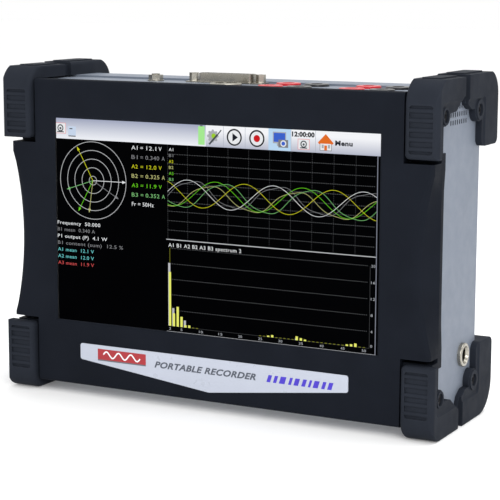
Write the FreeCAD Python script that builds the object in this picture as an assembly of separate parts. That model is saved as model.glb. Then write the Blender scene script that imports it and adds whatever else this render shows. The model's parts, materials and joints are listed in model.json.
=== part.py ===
import FreeCAD, Part
import math
import os

# Portable multichannel recorder: a flat bench instrument with a wide colour touch screen,
# a light metal case, a moulded front bezel and four rubber corner bumpers.
# Millimetres. +X is to the right seen from the front, +Y runs from the screen to the back,
# +Z is up. The origin is on the resting surface, under the middle of the whole object.

V = FreeCAD.Vector
X_DIR = V(1, 0, 0)
Y_DIR = V(0, 1, 0)
Z_DIR = V(0, 0, 1)

# ---- driving dimensions -------------------------------------------------------------
OVERALL_W = 296.0
OVERALL_D = 97.0
OVERALL_H = 209.4

SCREEN_W = 222.0          # lit area of the display
SCREEN_H = 128.5
SCREEN_Z = 112.0          # height of the middle of the display

CASE_W = 286.0
CASE_TOP = 200.15
CASE_BOTTOM = 7.0
CASE_BACK = 30.5
SHEET = 1.6               # case metal
PANEL_DROP = 1.25         # the connector panel lies this much below the case top
PANEL_BACK = 5.5          # where the connector panel ends and the case top begins

FACE_Y = -44.5            # front plane of the bezel
BEZEL_W = 287.6
BEZEL_TOP = 200.5
BEZEL_BOTTOM = 6.4
BEZEL_BACK = -26.5
SKIRT_END = -30.8         # where the bezel ends beside the bumpers
BEZEL_TOP_BACK = -38.5    # the bezel is this short where the metal top meets it
WAIST_W = 274.2           # bezel width at the hand grips
WAIST_LOW = 50.0
WAIST_HIGH = 154.0
WAIST_SCOOP = 4.1         # the front edge is dished this much more at the grips
EDGE_ROUND = 2.0
M3_R = 1.5                # screw shanks, and the clearance holes for them
M3_CLEAR_R = 1.6

BUMPER_WIDTH = 21.0       # along X
BUMPER_IN_BEZEL = 4.3     # how far the front legs sink into the bezel
FIT_GAP = 0.05            # between moulded pieces that touch
SEAT_GAP = 0.02           # under a piece that is clamped or glued down
MOVE_GAP = 0.3            # between pieces that move past each other

GLASS_T = 1.1
GLASS_RECESS = 1.0        # the glass lies this deep behind the face of the bezel
LCD_GAP = 0.8             # filled by the seal round the edge
LCD_T = 5.0

# ---- worked-out dimensions ----------------------------------------------------------
HALF_W = OVERALL_W / 2
FRONT_Y = -OVERALL_D / 2
BACK_Y = OVERALL_D / 2
CASE_X = CASE_W / 2
BEZEL_X = BEZEL_W / 2
WAIST_X = WAIST_W / 2
BUMPER_X = HALF_W - BUMPER_WIDTH
PANEL_TOP = CASE_TOP - PANEL_DROP
PANEL_UNDER = PANEL_TOP - SHEET
GLASS_FRONT = FACE_Y + GLASS_RECESS
GLASS_BACK = GLASS_FRONT + GLASS_T
LCD_FRONT = GLASS_BACK + LCD_GAP
LCD_BACK = LCD_FRONT + LCD_T
COVER_T = 2.0
COVER_FRONT = CASE_BACK - COVER_T


# ---- sizes: bezel, glass and display -----------------------------------------------
GLASS_HALF_W = SCREEN_W / 2 + 5.0
GLASS_HALF_H = SCREEN_H / 2 + 5.0
LCD_HALF_W = SCREEN_W / 2 + 4.8
LCD_HALF_H = SCREEN_H / 2 + 4.8
POCKET_TOP_END = OVERALL_H - 49.2    # lower end of the pockets for the top bumpers
POCKET_LOW_END = 47.6                # upper end of the pockets for the bottom bumpers
POCKET_X = BUMPER_X - 1.6
POCKET_FLOOR = FACE_Y + BUMPER_IN_BEZEL
RELIEF_FLOOR = FACE_Y + 12.0         # deeper slots past the ends of the bumper legs
RELIEF_H = 2.8
BEZEL_SCREW_X = 138.7
BEZEL_SCREW_R = 0.7
BEZEL_SCREW_END = -28.3
BEZEL_TAB_X = 133.0                  # tabs bent in from the case sides take these screws
CASE_FRONT = -30.6
BEZEL_HEAD_R = 1.1
BRACKET_T = 1.2
LABEL_HALF_W = 93.2
LABEL_TOP = 34.0
LABEL_SIDE = 23.8
LABEL_POINT = 12.7
LABEL_T = 0.5

# ---- sizes: case -------------------------------------------------------------------
VENT_ROWS = 3
VENT_COUNT = 8
VENT_PITCH_Y = 3.5
VENT_PITCH_Z = 4.5
VENT_W = 1.9
VENT_H = 3.2
VENT_Y = -17.4            # first slot
VENT_Z = 181.6            # lowest row
REAR_VENT_ROWS = 5
REAR_VENT_COUNT = 12
REAR_VENT_PITCH = 4.2
REAR_VENT_R = 1.1
REAR_VENT_X = 66.0        # first hole of a row
REAR_VENT_Z = 168.0       # lowest row
DC_JACK_Y = 8.4
DC_JACK_Z = 41.5
DC_HOLE_R = 6.0

# ---- sizes: top connector panel ----------------------------------------------------
SOCKET_ROWS_Y = (-26.8, -2.5)
RED_X = (32.0, 85.0)
SOCKET_PAIR = 19.05       # standard distance between paired 4 mm sockets
SOCKET_FLANGE_R = 7.5
SOCKET_BODY_R = 5.9
SOCKET_FLANGE_H = 1.5
SOCKET_DEPTH = 22.0
SOCKET_SHROUD_R = 3.7
CONTACT_R = 2.9
PLUG_R = 2.0              # 4 mm plugs
BUTTON_PLACE = V(0, -23.5, PANEL_TOP)
BUTTON_RING_R = 9.8
BUTTON_RING_H = 1.6
BUTTON_BARREL_R = 7.9
BUTTON_BARREL_H = 13.0
BUTTON_WELL = 11.0        # depth of the barrel's well below the panel
BUTTON_CAP_R = 6.6
BUTTON_CAP_RISE = 0.9     # the cap stands this much above the panel
BUTTON_STEM_R = 1.25
TERMINAL_PLACE = V(-59.0, -7.0, PANEL_TOP)
TERMINAL_R = 2.6
TERMINAL_RISE = 4.7       # top of the post above the panel
TERMINAL_FLANGE_R = 5.1
TERMINAL_NUT_FLATS = 8.0
TERMINAL_BORE_R = 1.3
TERMINAL_BORE_DEPTH = 4.0
D_SUB_PLACE = V(-10.6, -2.0, PANEL_TOP)
D_SUB_SCREW_PITCH = 47.04
D_SUB_HOLE_W = 40.0
D_SUB_W = 38.9            # collar of a 25-way connector
D_SUB_D = 8.3
D_SUB_SLOPE = 1.3
D_SUB_RISE = 5.9
D_SUB_FLANGE_W = 53.0
D_SUB_FLANGE_D = 12.4
D_SUB_FLANGE_T = 0.8
JACKSCREW_BORE_R = 1.25
LEGEND_PLACE = V(-57.0, -29.0, PANEL_TOP)
LEGEND_W = 13.4
LEGEND_D = 6.4

# ---- sizes: power inlet on the right side ------------------------------------------
INLET_RING_R = 7.2
INLET_RING_H = 2.5
DC_BARREL_LENGTH = 15.0
DC_HOLLOW_R = 4.5
DC_MOUTH_R = 5.4          # the ring is dished down to the hollow
DC_MOUTH_DEPTH = 1.6
DC_HOLLOW_DEPTH = 11.0
DC_PIN_R = 0.98
DC_PIN_LENGTH = 18.0

# ---- sizes: corner bumpers ---------------------------------------------------------
SCREW_R = 1.6
SCREW_HEAD_R = 3.1
SCREW_SEAT = 2.8                     # depth of the counterbores for the heads
BUMPER_TOP_LEGS = (46.4, 44.4)       # front leg, rear leg, measured from the outer face
BUMPER_LOW_LEGS = (44.5, 46.0)
BUMPER_TOP_ROUNDS = (16.0, 14.5)
BUMPER_LOW_ROUNDS = (11.0, 20.0)
SCREW_DEPTHS = (22.2, 24.4)          # from the outer face: top bumpers, bottom bumpers
SCREW_Y = (-37.0, 18.2)
BOSS_R = (5.8, 6.9)                  # round the front screw, round the rear screw
GROOVE_Y = (-7.6, -0.4)
GROOVE_DEPTH = 2.6
SIDE_STEP = 1.0                      # the middle of the outer side lies this much deeper
PAD_H = 0.8                          # raised pads on the top bumpers
FRONT_DROP = 0.9                     # the front half of the top bumpers is this much lower
FRONT_CORNER_R = 3.0                 # upright front edge of the legs
RIB_COUNT = 5
RIB_PITCH = 5.4
RIB_R = 1.5
RIB_DEPTH = 1.3
FIRST_RIB = (18.8, 16.9)             # from the outer face: top bumpers, bottom bumpers

# ---- sizes: inside -----------------------------------------------------------------
MAIN_BOARD_Y = -16.0
MAIN_BOARD_X = (-105.0, 105.0)
MAIN_BOARD_Z = (30.0, 165.0)
BOARD_T = 1.6
INPUT_BOARD_Z = PANEL_TOP - SOCKET_DEPTH - 2.3

# ---- sizes: battery ----------------------------------------------------------------
PACK_HALF_W = 66.0
PACK_LOW = 46.0
PACK_HIGH = 116.0
PACK_FRONT = 6.0
PACK_FACE_T = 2.0
PACK_WALL = 1.6
PACK_END = 18.0           # solid ends of the pack, which take the screws
PACK_SCREW_HEAD_R = 3.9
PACK_SCREW_R = 1.6
CELL_COUNT = 3

# ---- sizes: tilt stand -------------------------------------------------------------
STAND_PIVOT_Y = 38.0
STAND_PIVOT_Z = 152.0
STAND_HALF_W = 98.0
STAND_T = 5.0
STAND_LOW = 16.0
STAND_LEG = 13.0
STAND_PIN_R = 2.0
STAND_KNUCKLE_R = 4.5
STAND_EAR_T = 3.0


# ---- shape helpers ------------------------------------------------------------------
def box(x_range, y_range, z_range):
    size = [high - low for low, high in (x_range, y_range, z_range)]
    return Part.makeBox(size[0], size[1], size[2], V(x_range[0], y_range[0], z_range[0]))


def cylinder(centre, direction, radius, length):
    return Part.makeCylinder(radius, length, centre, direction)


def tube(centre, direction, outer, inner, length):
    return cylinder(centre, direction, outer, length).cut(cylinder(centre, direction, inner, length))


def hex_prism(centre, across_flats, height):
    corner = across_flats / math.sqrt(3)
    points = []
    for side in range(7):
        angle = math.radians(60 * side + 30)
        points.append(centre + V(corner * math.cos(angle), corner * math.sin(angle), 0))
    return Part.Face(Part.makePolygon(points)).extrude(Z_DIR * height)


def rounded_outline(corners, place):
    """Closed wire through corners (a, b, radius), each corner replaced by a tangent arc."""
    count = len(corners)
    starts = []
    middles = []
    ends = []
    for index in range(count):
        here = V(corners[index][0], corners[index][1], 0)
        radius = corners[index][2]
        before = corners[index - 1]
        after = corners[(index + 1) % count]
        back_dir = (V(before[0], before[1], 0) - here).normalize()
        front_dir = (V(after[0], after[1], 0) - here).normalize()
        half_turn = back_dir.getAngle(front_dir) / 2
        reach = radius / math.tan(half_turn)
        middle_dir = (back_dir + front_dir).normalize()
        to_arc = radius / math.sin(half_turn) - radius
        starts.append(here + back_dir * reach)
        middles.append(here + middle_dir * to_arc)
        ends.append(here + front_dir * reach)
    edges = []
    for index in range(count):
        following = (index + 1) % count
        if corners[index][2] > 0:
            arc = Part.Arc(place(starts[index]), place(middles[index]), place(ends[index]))
            edges.append(arc.toShape())
        if (starts[following] - ends[index]).Length > 1e-4:
            edges.append(Part.makeLine(place(ends[index]), place(starts[following])))
    return Part.Wire(edges)


def prism_along_x(corners, low, high):
    """Outline given in (y, z)."""
    wire = rounded_outline(corners, lambda p: V(low, p.x, p.y))
    return Part.Face(wire).extrude(X_DIR * (high - low))


def prism_along_y(corners, low, high):
    """Outline given in (x, z)."""
    wire = rounded_outline(corners, lambda p: V(p.x, low, p.y))
    return Part.Face(wire).extrude(Y_DIR * (high - low))


def prism_along_z(corners, low, high):
    """Outline given in (x, y)."""
    wire = rounded_outline(corners, lambda p: V(p.x, p.y, low))
    return Part.Face(wire).extrude(Z_DIR * (high - low))


def rounded_rectangle(a_range, b_range, radius):
    low_a, high_a = a_range
    low_b, high_b = b_range
    return [(low_a, low_b, radius), (high_a, low_b, radius),
            (high_a, high_b, radius), (low_a, high_b, radius)]


def round_edges(shape, radius, wanted):
    """Fillet the edges that wanted() picks; the shape stays as it is if none can take it."""
    edges = [edge for edge in shape.Edges if wanted(edge)]
    if not edges:
        return shape
    try:
        rounded = shape.makeFillet(radius, edges)
    except Part.OCCError:
        return shape
    return rounded if rounded.isValid() and rounded.Volume > 0 else shape


def in_plane(edge, axis, value):
    """True for an edge that lies wholly in the plane where that coordinate equals value."""
    box_of = edge.BoundBox
    low = (box_of.XMin, box_of.YMin, box_of.ZMin)[axis]
    high = (box_of.XMax, box_of.YMax, box_of.ZMax)[axis]
    return abs(low - value) < 1e-3 and abs(high - value) < 1e-3


def mirrored_x(shape):
    return shape.mirror(V(0, 0, 0), X_DIR)


def group(solids):
    return Part.makeCompound(solids)


def fuse_all(solids):
    result = solids[0]
    for solid in solids[1:]:
        result = result.fuse(solid)
    return result.removeSplitter()


def save(name, shape):
    if not shape.isValid():
        print("not valid:", name)
    shape.exportStep("parts/" + name + ".step")
    print("%-24s %2d solids %10.1f mm3" % (name, len(shape.Solids), shape.Volume))


# ---- front: bezel, glass, display ---------------------------------------------------
def bezel_outline(inset, waist_x, y):
    """Front outline of the bezel at depth y: a rectangle with both sides drawn in."""
    x = BEZEL_X - inset
    waist = waist_x - inset
    low = BEZEL_BOTTOM + inset
    high = BEZEL_TOP - inset
    middle = (WAIST_LOW + WAIST_HIGH) / 2
    points = [V(-x, y, low), V(x, y, low), V(x, y, WAIST_LOW), V(x, y, WAIST_HIGH),
              V(x, y, high), V(-x, y, high), V(-x, y, WAIST_HIGH), V(-x, y, WAIST_LOW)]
    edges = []
    for index in range(len(points)):
        start = points[index]
        end = points[(index + 1) % len(points)]
        if start.z + end.z == WAIST_LOW + WAIST_HIGH and start.x == end.x:
            through = V(math.copysign(waist, start.x), y, middle)
            edges.append(Part.Arc(start, through, end).toShape())
        else:
            edges.append(Part.makeLine(start, end))
    return Part.Wire(edges)


def bezel_block():
    """Solid outer form: dished front edge, sides that flare out from the grips, straight skirt."""
    rear_waist = BEZEL_X - 0.1
    flare_end = CASE_FRONT - 1.0
    sections = [bezel_outline(EDGE_ROUND, WAIST_X - WAIST_SCOOP, FACE_Y),
                bezel_outline(EDGE_ROUND * 0.3, WAIST_X - WAIST_SCOOP * 0.4,
                              FACE_Y + EDGE_ROUND * 0.3),
                bezel_outline(0, WAIST_X, FACE_Y + EDGE_ROUND),
                bezel_outline(0, rear_waist, flare_end),
                bezel_outline(0, rear_waist, BEZEL_BACK)]
    block = None
    for front, rear in zip(sections[:-1], sections[1:]):
        slab = Part.makeLoft([front, rear], True, True)
        block = slab if block is None else block.fuse(slab)
    return block.removeSplitter()


def bumper_pockets():
    pockets = []
    for low, high in ((POCKET_TOP_END, OVERALL_H), (0, POCKET_LOW_END)):
        corners = rounded_rectangle((POCKET_X, HALF_W + 5), (low, high), 0.8)
        pocket = prism_along_y(corners, FRONT_Y, POCKET_FLOOR)
        pockets.append(pocket)
        pockets.append(mirrored_x(pocket))
    for low in (POCKET_TOP_END, POCKET_LOW_END - RELIEF_H):
        relief = box((POCKET_X, HALF_W), (FACE_Y, RELIEF_FLOOR), (low, low + RELIEF_H))
        pockets.append(relief)
        pockets.append(mirrored_x(relief))
    return pockets


def front_bezel():
    block = bezel_block()
    cavity_x = 122.0
    cavity_front = FACE_Y + 4.0
    cuts = [box((-cavity_x, cavity_x), (cavity_front, 0), (12.0, 195.0))]
    # behind its top wall the bezel is open, to leave room for the connectors
    cuts.append(box((-cavity_x, cavity_x), (BEZEL_TOP_BACK + 2.0, 0), (190.0, OVERALL_H)))
    # the case sits inside the skirt, which laps over its sides
    cuts.append(box((-CASE_X - FIT_GAP, CASE_X + FIT_GAP), (SKIRT_END, 0), (0, OVERALL_H)))
    # steps for the metal top and bottom, which come further forward than the sides
    top_step = PANEL_UNDER - FIT_GAP
    cuts.append(box((-POCKET_X, POCKET_X), (BEZEL_TOP_BACK, 0), (top_step, OVERALL_H)))
    low_step = CASE_BOTTOM + SHEET + FIT_GAP
    cuts.append(box((-POCKET_X, POCKET_X), (BEZEL_TOP_BACK, 0), (0, low_step)))
    # the skirt's rear edge steps forward in the middle, and the skirt stops at the bumpers
    bow = 1.5
    outline = [(BEZEL_BACK + 1, WAIST_LOW + 2, 0), (BEZEL_BACK + 1, WAIST_HIGH + 2, 0),
               (BEZEL_BACK, WAIST_HIGH + 2, 0), (BEZEL_BACK - bow, WAIST_HIGH - 10, 8),
               (BEZEL_BACK - bow, WAIST_LOW + 18, 8), (BEZEL_BACK, WAIST_LOW + 2, 0)]
    cuts.append(prism_along_x(outline, -HALF_W, HALF_W))
    for z_range in ((0, POCKET_LOW_END - 6.6), (POCKET_TOP_END + 5.3, OVERALL_H)):
        for side in (-1, 1):
            x_range = sorted((side * (CASE_X - 2), side * HALF_W))
            cuts.append(box(x_range, (SKIRT_END, 0), z_range))
    # display window with a bevelled lip, and the seat of the glass behind it
    lip = 1.2
    window = []
    for grow, y in ((lip, FACE_Y), (0, GLASS_FRONT)):
        half_w = SCREEN_W / 2 + grow
        half_h = SCREEN_H / 2 + grow
        window.append(Part.makePolygon([
            V(-half_w, y, SCREEN_Z - half_h), V(half_w, y, SCREEN_Z - half_h),
            V(half_w, y, SCREEN_Z + half_h), V(-half_w, y, SCREEN_Z + half_h),
            V(-half_w, y, SCREEN_Z - half_h)]))
    cuts.append(Part.makeLoft(window, True, True))
    seat_w = GLASS_HALF_W + 0.2
    seat_h = GLASS_HALF_H + 0.2
    cuts.append(box((-seat_w, seat_w), (GLASS_FRONT, 0), (SCREEN_Z - seat_h, SCREEN_Z + seat_h)))
    cuts += bumper_pockets()
    # holes for the bezel screws in the pocket floors
    for centre in bezel_screw_places():
        cuts.append(cylinder(centre, Y_DIR, BEZEL_SCREW_R + SEAT_GAP, CASE_FRONT - centre.y))
        cuts.append(cylinder(centre - Y_DIR * 0.2, Y_DIR, BEZEL_HEAD_R + 0.1, 1.2))
    for centre in bumper_screw_places():
        out = X_DIR * math.copysign(1, centre.x)
        cuts.append(cylinder(centre - out * 14, out, SCREW_R + SEAT_GAP, 20))
    for cut in cuts:
        block = block.cut(cut)
    return block.removeSplitter()


def bezel_screw_places():
    """The lower ones show above the bumper legs, the upper ones are hidden under them."""
    places = []
    for side in (-1, 1):
        places.append(V(side * BEZEL_SCREW_X, RELIEF_FLOOR, POCKET_LOW_END - RELIEF_H / 2))
        places.append(V(side * BEZEL_SCREW_X, POCKET_FLOOR, POCKET_TOP_END + 12.0))
    return places


def bezel_screws():
    screws = []
    for centre in bezel_screw_places():
        head = cylinder(centre + Y_DIR * 0.1, Y_DIR, BEZEL_HEAD_R, 0.85)
        length = BEZEL_SCREW_END - centre.y - 0.9
        shank = cylinder(centre + Y_DIR * 0.9, Y_DIR, BEZEL_SCREW_R, length)
        socket = cylinder(centre, Y_DIR, 0.45, 0.5)
        screws.append(head.fuse(shank).cut(socket))
    return group(screws)


def touch_glass():
    corners = rounded_rectangle((-GLASS_HALF_W, GLASS_HALF_W),
                                (SCREEN_Z - GLASS_HALF_H, SCREEN_Z + GLASS_HALF_H), 1.5)
    return prism_along_y(corners, GLASS_FRONT + FIT_GAP, GLASS_BACK)


def frame_ring(outer_w, outer_h, inner_w, inner_h, y_range, radius):
    outer = prism_along_y(rounded_rectangle((-outer_w, outer_w),
                          (SCREEN_Z - outer_h, SCREEN_Z + outer_h), radius), *y_range)
    inner = box((-inner_w, inner_w), y_range, (SCREEN_Z - inner_h, SCREEN_Z + inner_h))
    return outer.cut(inner)


def screen_gasket():
    return frame_ring(GLASS_HALF_W, GLASS_HALF_H, SCREEN_W / 2 + 0.3, SCREEN_H / 2 + 0.3,
                      (GLASS_BACK + FIT_GAP, LCD_FRONT - FIT_GAP), 1.5)


def lcd_panel():
    return box((-LCD_HALF_W, LCD_HALF_W), (LCD_FRONT, LCD_BACK),
               (SCREEN_Z - LCD_HALF_H, SCREEN_Z + LCD_HALF_H))


def display_bracket():
    """Sheet frame behind the display, with windows to save weight."""
    y_range = (LCD_BACK + FIT_GAP, LCD_BACK + FIT_GAP + BRACKET_T)
    plate = frame_ring(LCD_HALF_W, LCD_HALF_H, LCD_HALF_W - 14, LCD_HALF_H - 14, y_range, 3.0)
    bar = box((-6, 6), y_range, (SCREEN_Z - LCD_HALF_H, SCREEN_Z + LCD_HALF_H))
    plate = plate.fuse(bar).removeSplitter()
    for centre in bracket_screw_places():
        plate = plate.cut(cylinder(centre - Y_DIR * 5, Y_DIR, M3_CLEAR_R, 20))
    return plate


def bracket_screw_places():
    y = LCD_BACK + FIT_GAP + BRACKET_T
    x = LCD_HALF_W - 6
    z = LCD_HALF_H - 6
    return [V(side * x, y, SCREEN_Z + level * z) for side in (-1, 1) for level in (-1, 1)]


def bracket_screws():
    screws = []
    for centre in bracket_screw_places():
        head = cylinder(centre + Y_DIR * FIT_GAP, Y_DIR, 2.7, 1.8)
        shank = cylinder(centre - Y_DIR * 1.2, Y_DIR, M3_R, 1.3)
        screws.append(head.fuse(shank).removeSplitter())
    return group(screws)


def label_plate():
    """Shallow five-sided plate with a blunt point in the middle of its lower edge."""
    corners = [(-LABEL_HALF_W, LABEL_TOP, 1.5), (-LABEL_HALF_W, LABEL_SIDE, 1.5),
               (0, LABEL_POINT, 9.0), (LABEL_HALF_W, LABEL_SIDE, 1.5),
               (LABEL_HALF_W, LABEL_TOP, 1.5)]
    return prism_along_y(corners, FACE_Y - LABEL_T, FACE_Y - 0.01)


# ---- case -----------------------------------------------------------------------------
def vent_slots(side):
    """Rows of upright slots through one side of the case."""
    slots = []
    for row in range(VENT_ROWS):
        z = VENT_Z + row * VENT_PITCH_Z
        for number in range(VENT_COUNT):
            y = VENT_Y + number * VENT_PITCH_Y
            corners = rounded_rectangle((y - VENT_W / 2, y + VENT_W / 2),
                                        (z - VENT_H / 2, z + VENT_H / 2), VENT_W * 0.45)
            slots.append(prism_along_x(corners, side * CASE_X - 3, side * CASE_X + 3))
    return slots


def case_shell():
    """Bent metal sleeve: two sides, a bottom, and a top strip behind the connector panel."""
    front = CASE_FRONT
    outer = box((-CASE_X, CASE_X), (front, CASE_BACK), (CASE_BOTTOM, CASE_TOP))
    tongue_x = POCKET_X - 0.3
    tongue = box((-tongue_x, tongue_x), (BEZEL_TOP_BACK + FIT_GAP, front + 1),
                 (CASE_BOTTOM, CASE_BOTTOM + SHEET))
    outer = round_edges(outer, 1.5, lambda e: abs(abs(e.BoundBox.XMin) - CASE_X) < 1e-3
                        and in_plane(e, 0, e.BoundBox.XMin) and e.BoundBox.YLength > 50)
    inner = box((-CASE_X + SHEET, CASE_X - SHEET), (front - 1, CASE_BACK + 1),
                (CASE_BOTTOM + SHEET, CASE_TOP - SHEET))
    shell = outer.cut(inner).fuse(tongue)
    shell = shell.cut(box((-CASE_X + SHEET, CASE_X - SHEET), (front - 1, PANEL_BACK),
                          (CASE_TOP - SHEET * 3, CASE_TOP + 1)))
    for centre in bezel_screw_places():
        side = math.copysign(1, centre.x)
        x_range = sorted((side * BEZEL_TAB_X, side * (CASE_X - SHEET / 2)))
        tab = box(x_range, (front, front + SHEET), (centre.z - 5.0, centre.z + 5.0))
        shell = shell.fuse(tab)
        shell = shell.cut(cylinder(V(centre.x, front - 1, centre.z), Y_DIR,
                                   BEZEL_SCREW_R + SEAT_GAP, SHEET + 2))
    for slot in vent_slots(1) + vent_slots(-1):
        shell = shell.cut(slot)
    shell = shell.cut(cylinder(V(CASE_X - 5, DC_JACK_Y, DC_JACK_Z), X_DIR, DC_HOLE_R, 10))
    for centre in bumper_screw_places():
        direction = X_DIR * (1 if centre.x > 0 else -1)
        shell = shell.cut(cylinder(centre - direction * 8, direction, SCREW_R + 0.1, 16))
    return shell.removeSplitter()


def rear_cover():
    """Back plate set inside the sleeve, with the battery opening and stand bearings."""
    edge = CASE_X - SHEET - 0.1
    plate = box((-edge, edge), (COVER_FRONT, CASE_BACK),
                (CASE_BOTTOM + SHEET + 0.1, CASE_TOP - SHEET - 0.1))
    opening_x = PACK_HALF_W + MOVE_GAP
    plate = plate.cut(box((-opening_x, opening_x), (0, 40),
                          (PACK_LOW - MOVE_GAP, PACK_HIGH + MOVE_GAP)))
    for centre in cover_screw_places() + stand_bracket_screw_places():
        plate = plate.cut(cylinder(centre - Y_DIR * 5, Y_DIR, M3_CLEAR_R, 20))
    for row in range(REAR_VENT_ROWS):
        for number in range(REAR_VENT_COUNT):
            x = REAR_VENT_X + number * REAR_VENT_PITCH
            z = REAR_VENT_Z + row * REAR_VENT_PITCH
            plate = plate.cut(cylinder(V(x, COVER_FRONT - 1, z), Y_DIR, REAR_VENT_R, 5))
    return plate.removeSplitter()


def cover_screw_places():
    x = CASE_X - 20
    return [V(side * x, CASE_BACK, z) for side in (-1, 1) for z in (62.0, 104.0, 146.0)]


def pan_head_screw(centre, direction, head_r, head_h, shank_r, shank_l, socket_r):
    """Round head standing out along direction, hex socket in it, shank the other way."""
    head = cylinder(centre, direction, head_r, head_h)
    shank = cylinder(centre + direction * 0.01, direction * -1, shank_r, shank_l)
    socket = cylinder(centre + direction * head_h * 0.35, direction, socket_r, head_h)
    return head.fuse(shank).cut(socket).removeSplitter()


def rear_cover_screws():
    return group([pan_head_screw(centre + Y_DIR * SEAT_GAP, Y_DIR, 2.9, 1.9, M3_R, 7.5, 1.3)
                  for centre in cover_screw_places()])


def cover_bosses():
    """Threaded bosses inside the back plate, tied to the sleeve's sides by short ribs."""
    bosses = []
    for centre in cover_screw_places():
        side = 1 if centre.x > 0 else -1
        boss = cylinder(V(centre.x, COVER_FRONT - 10, centre.z), Y_DIR, 4.0, 9.9)
        wall = CASE_X - SHEET - 0.05
        rib = box(sorted((centre.x, side * wall)), (COVER_FRONT - 10, COVER_FRONT - 2),
                  (centre.z - 1.5, centre.z + 1.5))
        hole = cylinder(V(centre.x, COVER_FRONT - 7, centre.z), Y_DIR, M3_R + FIT_GAP, 8)
        bosses.append(boss.fuse(rib).cut(hole).removeSplitter())
    return group(bosses)


# ---- top connector panel ---------------------------------------------------------------
def socket_places(shift):
    return [V(x + shift, y, PANEL_TOP) for x in RED_X for y in SOCKET_ROWS_Y]


def top_panel():
    edge = CASE_X - SHEET - 0.1
    tongue_x = POCKET_X - 0.3
    plate = box((-edge, edge), (CASE_FRONT, PANEL_BACK - 0.2), (PANEL_UNDER, PANEL_TOP))
    plate = plate.fuse(box((-tongue_x, tongue_x), (BEZEL_TOP_BACK + FIT_GAP, CASE_FRONT + 1),
                           (PANEL_UNDER, PANEL_TOP)))
    lip = box((-edge, edge), (PANEL_BACK - 0.8, PANEL_BACK + 8),
              (CASE_TOP - SHEET * 2 - 0.1, CASE_TOP - SHEET - 0.1))
    plate = plate.fuse(lip)
    holes = [cylinder(place - Z_DIR * 5, Z_DIR, SOCKET_BODY_R + 0.1, 10)
             for place in socket_places(0) + socket_places(SOCKET_PAIR)]
    holes.append(cylinder(BUTTON_PLACE - Z_DIR * 5, Z_DIR, BUTTON_BARREL_R + 0.2, 10))
    holes.append(cylinder(TERMINAL_PLACE - Z_DIR * 5, Z_DIR, TERMINAL_R + 0.1, 10))
    half = D_SUB_HOLE_W / 2
    holes.append(prism_along_z(
        rounded_rectangle((D_SUB_PLACE.x - half, D_SUB_PLACE.x + half),
                          (D_SUB_PLACE.y - 5.0, D_SUB_PLACE.y + 5.0), 2.0),
        PANEL_TOP - 5, PANEL_TOP + 5))
    for centre in d_sub_screw_places():
        holes.append(cylinder(centre - Z_DIR * 5, Z_DIR, 1.6, 10))
    for hole in holes:
        plate = plate.cut(hole)
    return plate.removeSplitter()


def socket_bodies(shift):
    """Shrouded 4 mm safety sockets: flange, body, and a ring-shaped well round the contact."""
    sockets = []
    for place in socket_places(shift):
        flange = cylinder(place + Z_DIR * SEAT_GAP, Z_DIR, SOCKET_FLANGE_R, SOCKET_FLANGE_H)
        flange = round_edges(flange, 0.6,
                             lambda e: in_plane(e, 2, place.z + SEAT_GAP + SOCKET_FLANGE_H))
        body = cylinder(place + Z_DIR * SEAT_GAP, Z_DIR * -1, SOCKET_BODY_R, SOCKET_DEPTH)
        well_depth = SOCKET_DEPTH - 3.0
        well = tube(place - Z_DIR * well_depth, Z_DIR, SOCKET_SHROUD_R, CONTACT_R,
                    well_depth + 5)
        bore = cylinder(place - Z_DIR * (SOCKET_DEPTH + 1), Z_DIR, CONTACT_R, SOCKET_DEPTH + 6)
        sockets.append(flange.fuse(body).cut(well).cut(bore).removeSplitter())
    return group(sockets)


def socket_contacts():
    """Brass tubes that take the plugs, with a solder pin below."""
    contacts = []
    for place in socket_places(0) + socket_places(SOCKET_PAIR):
        low = place - Z_DIR * (SOCKET_DEPTH - 0.5)
        post = cylinder(low, Z_DIR, CONTACT_R - SEAT_GAP, SOCKET_DEPTH - 1.5)
        bore = cylinder(low + Z_DIR * 2.5, Z_DIR, PLUG_R, SOCKET_DEPTH)
        pin = cylinder(low - Z_DIR * 3.5, Z_DIR, 1.0, 3.6)
        contacts.append(post.cut(bore).fuse(pin).removeSplitter())
    return group(contacts)


def socket_nuts():
    """Plastic rings that clamp the sockets from under the panel."""
    nuts = []
    for place in socket_places(0) + socket_places(SOCKET_PAIR):
        low = place - Z_DIR * (SHEET + FIT_GAP + 3.0)
        nuts.append(tube(low, Z_DIR, SOCKET_BODY_R + 1.2, SOCKET_BODY_R + SEAT_GAP, 3.0))
    return group(nuts)


def power_button_ring():
    place = BUTTON_PLACE
    base = place + Z_DIR * SEAT_GAP
    ring = cylinder(base, Z_DIR, BUTTON_RING_R, BUTTON_RING_H)
    ring = round_edges(ring, 0.7, lambda e: in_plane(e, 2, base.z + BUTTON_RING_H))
    barrel = cylinder(base, Z_DIR * -1, BUTTON_BARREL_R, BUTTON_BARREL_H)
    well = cylinder(place - Z_DIR * BUTTON_WELL, Z_DIR, BUTTON_CAP_R + 0.1, 20)
    floor_hole = cylinder(place - Z_DIR * 20.0, Z_DIR, BUTTON_STEM_R + FIT_GAP, 20)
    return ring.fuse(barrel).cut(well).cut(floor_hole).removeSplitter()


def power_button_cap():
    """Dished cap with a stem that reaches the switch through the barrel's floor."""
    place = BUTTON_PLACE
    low = -4.0
    cap = cylinder(place + Z_DIR * low, Z_DIR, BUTTON_CAP_R + 0.04, BUTTON_CAP_RISE - low)
    cap = round_edges(cap, 0.8, lambda e: in_plane(e, 2, place.z + BUTTON_CAP_RISE))
    dish_r = 24.0
    cap = cap.cut(Part.makeSphere(dish_r, place + Z_DIR * (dish_r + 0.3)))
    stem_low = -12.4
    stem = cylinder(place + Z_DIR * stem_low, Z_DIR, BUTTON_STEM_R, low - stem_low + 0.1)
    return cap.fuse(stem).removeSplitter()


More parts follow.
